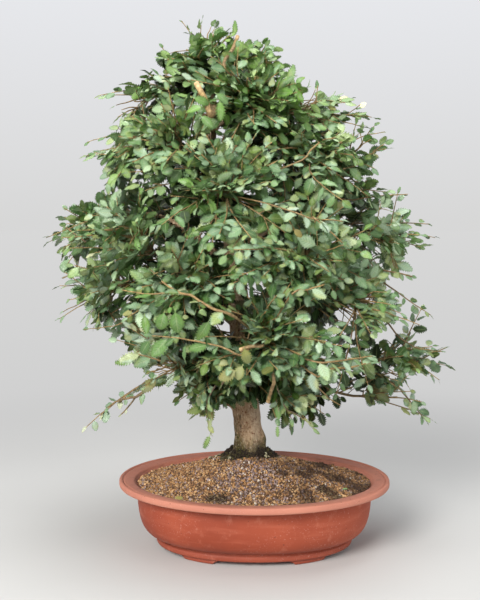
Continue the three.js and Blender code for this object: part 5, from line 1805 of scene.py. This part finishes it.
def build_litter():
    """Bits of twig in the deep hollows and round the trunk, and the fallen leaves."""
    rng = np.random.default_rng(808)
    twigs, leaves = Tubes(), Leaves()
    spots = [(hx, hy, r, 16) for hx, hy, r, deep in HOLLOWS if deep > 2.8] + [(TRUNK_X, TRUNK_Y, 44, 50)]
    for hx, hy, r, count in spots:
        for _ in range(count):
            turn, far = rng.uniform(0, 2 * np.pi), r * (0.1 + 0.9 * rng.random() ** 0.5)
            x, y = hx + far * math.cos(turn), hy + far * math.sin(turn)
            away = azimuth(math.degrees(rng.uniform(0, 2 * np.pi))) * rng.uniform(1.2, 4)
            here = np.array([x, y, surface_at(x, y) + rng.uniform(1.2, 2.4)])
            away[2] = rng.normal(0, 0.7)
            line = [here - away, here + UP * rng.uniform(0, 0.5), here + away]
            twigs.add(line, [0.3, rng.uniform(0.3, 0.75), 0.25], 5, young=rng.uniform(0, 0.5))
    for x, y, turned, length, width, tone, age, dry in FALLEN_LEAVES:
        along = azimuth(turned)
        foot = np.array([x, y, surface_at(x, y) + 2.6]) - along * length / 2
        faces = np.array([0.1, -0.3, 1])
        leaves.add(foot, along, faces, length, length * width, 0.4, 0.4, 0.1, tone, age, 0, dry)
    belongs(twigs.build("soil_litter", TWIG), "bark")
    belongs(leaves.build("fallen_leaves"), "leaf")


def dress_screens():
    """The two screens keep their own form and get their material."""
    for side in ("left", "right"):
        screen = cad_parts["drain_screen_" + side]
        screen.data.materials.clear()
        screen.data.materials.append(SCREEN)


build_soil()
build_grains()
build_clumps()
build_litter()
dress_screens()


# The floor, the light and the camera
HORIZON, NEAR_GLOW = (0.68, 0.68, 0.677), (0.585, 0.585, 0.585)
FLOOR_GREYS, FAR_FLOOR = [(0.3, (0.55, 0.545, 0.53)), (0.7, (0.57, 0.565, 0.55))], (0.02, 0.02, 0.02)
FLOOR_RADIUS, FLOOR_DROP, FLOOR_FADE, FLOOR_DEPTH = 40.0, 0.0003, (0.36, 1.25), 1.15
SKY, ROOF = [(0.0, HORIZON), (0.24, (0.80, 0.81, 0.84))], [(0.3, (1, 1, 1)), (0.5, (0.4, 0.4, 0.4))]
# Each lamp is a disc: place, size, power and colour
LAMPS = {
    "key": ((-0.9, -1.9, 1.3), 1.0, 66, (1, 0.985, 0.96)),
    "top": ((0.2, -0.2, 2.4), 1.4, 30, (0.96, 0.98, 1)),
    "fill": ((1.7, -1.2, 0.9), 1.4, 10, (1, 1, 1)),
}
LAMPS_AIM = Vector((0, 0, 0.3))


def floor_material():
    """A pale floor that fades into the glow of the horizon, so that no edge shows."""
    g = new_graph("floor")
    far = g.add("VectorMath", {0: g.where}, operation="LENGTH").outputs["Value"]
    fade = g.remap(far, *FLOOR_FADE, way="SMOOTHSTEP")
    depth = g.math("DIVIDE", 1.0, g.math("ADD", far, FLOOR_DEPTH))
    glow = g.blend(g.remap(depth, 0.63, 0.0), NEAR_GLOW, HORIZON)
    colour = g.blend(fade, g.ramp(g.noise(3.0, 2.0), FLOOR_GREYS), FAR_FLOOR)
    shine = {"Emission Color": glow, "Emission Strength": fade, "Specular IOR Level": 0.0}
    return g.finish(colour, 0.9, **shine)


def build_floor():
    """A plain round floor, a hair under the feet."""
    bpy.ops.mesh.primitive_circle_add(vertices=128, radius=FLOOR_RADIUS, fill_type="NGON")
    floor = bpy.context.object
    floor.name = "floor"
    floor.location = (MIDDLE[0], MIDDLE[1], MIDDLE[2] - FLOOR_DROP)
    floor.data.materials.append(floor_material())


def build_light():
    """A pale sky that dims overhead, and three soft lamps."""
    world = bpy.data.worlds.new("studio")
    bpy.context.scene.world = world
    g = Graph(world, "OutputWorld")
    up = g.add("SeparateXYZ", {0: g.places["Generated"]}).outputs["Z"]
    sky = g.blend(1.0, g.ramp(up, SKY), g.ramp(up, ROOF), "MULTIPLY")
    g.put(g.out.inputs[0], g.add("Background", {"Color": sky, "Strength": 1.0}).outputs[0])
    for name, (place, size, power, colour) in LAMPS.items():
        light = bpy.data.lights.new(name, "AREA")
        light.shape, light.size, light.energy, light.color = "DISK", size, power, colour
        ob = bpy.data.objects.new(name, light)
        bpy.context.scene.collection.objects.link(ob)
        ob.location = Vector(place)
        ob.rotation_euler = (LAMPS_AIM - Vector(place)).to_track_quat("-Z", "Y").to_euler()


# The camera: its place in millimetres, its angles in radians, and its focal length in pixels of the image
CAMERA_X, CAMERA_Y, CAMERA_Z, CAMERA_PITCH, CAMERA_YAW = 1.905, -1149.28, 419.19, 0.0865, -0.0177
FOCAL_PIXELS, IMAGE_HEIGHT, SENSOR_HEIGHT = 899.87, 600, 24.0


def build_camera():
    data = bpy.data.cameras.new("camera")
    data.sensor_fit = "VERTICAL"
    data.sensor_height = SENSOR_HEIGHT
    data.lens = FOCAL_PIXELS / IMAGE_HEIGHT * SENSOR_HEIGHT
    data.clip_end = 50
    camera = bpy.data.objects.new("camera", data)
    bpy.context.scene.collection.objects.link(camera)
    camera.location = Vector(metres([CAMERA_X, CAMERA_Y, CAMERA_Z]))
    flat = math.cos(CAMERA_PITCH)
    aim = Vector((math.sin(CAMERA_YAW) * flat, math.cos(CAMERA_YAW) * flat, -math.sin(CAMERA_PITCH)))
    camera.rotation_euler = aim.to_track_quat("-Z", "Y").to_euler()
    bpy.context.scene.camera = camera


build_floor()
build_light()
build_camera()
bpy.context.scene.view_settings.view_transform = "Standard"
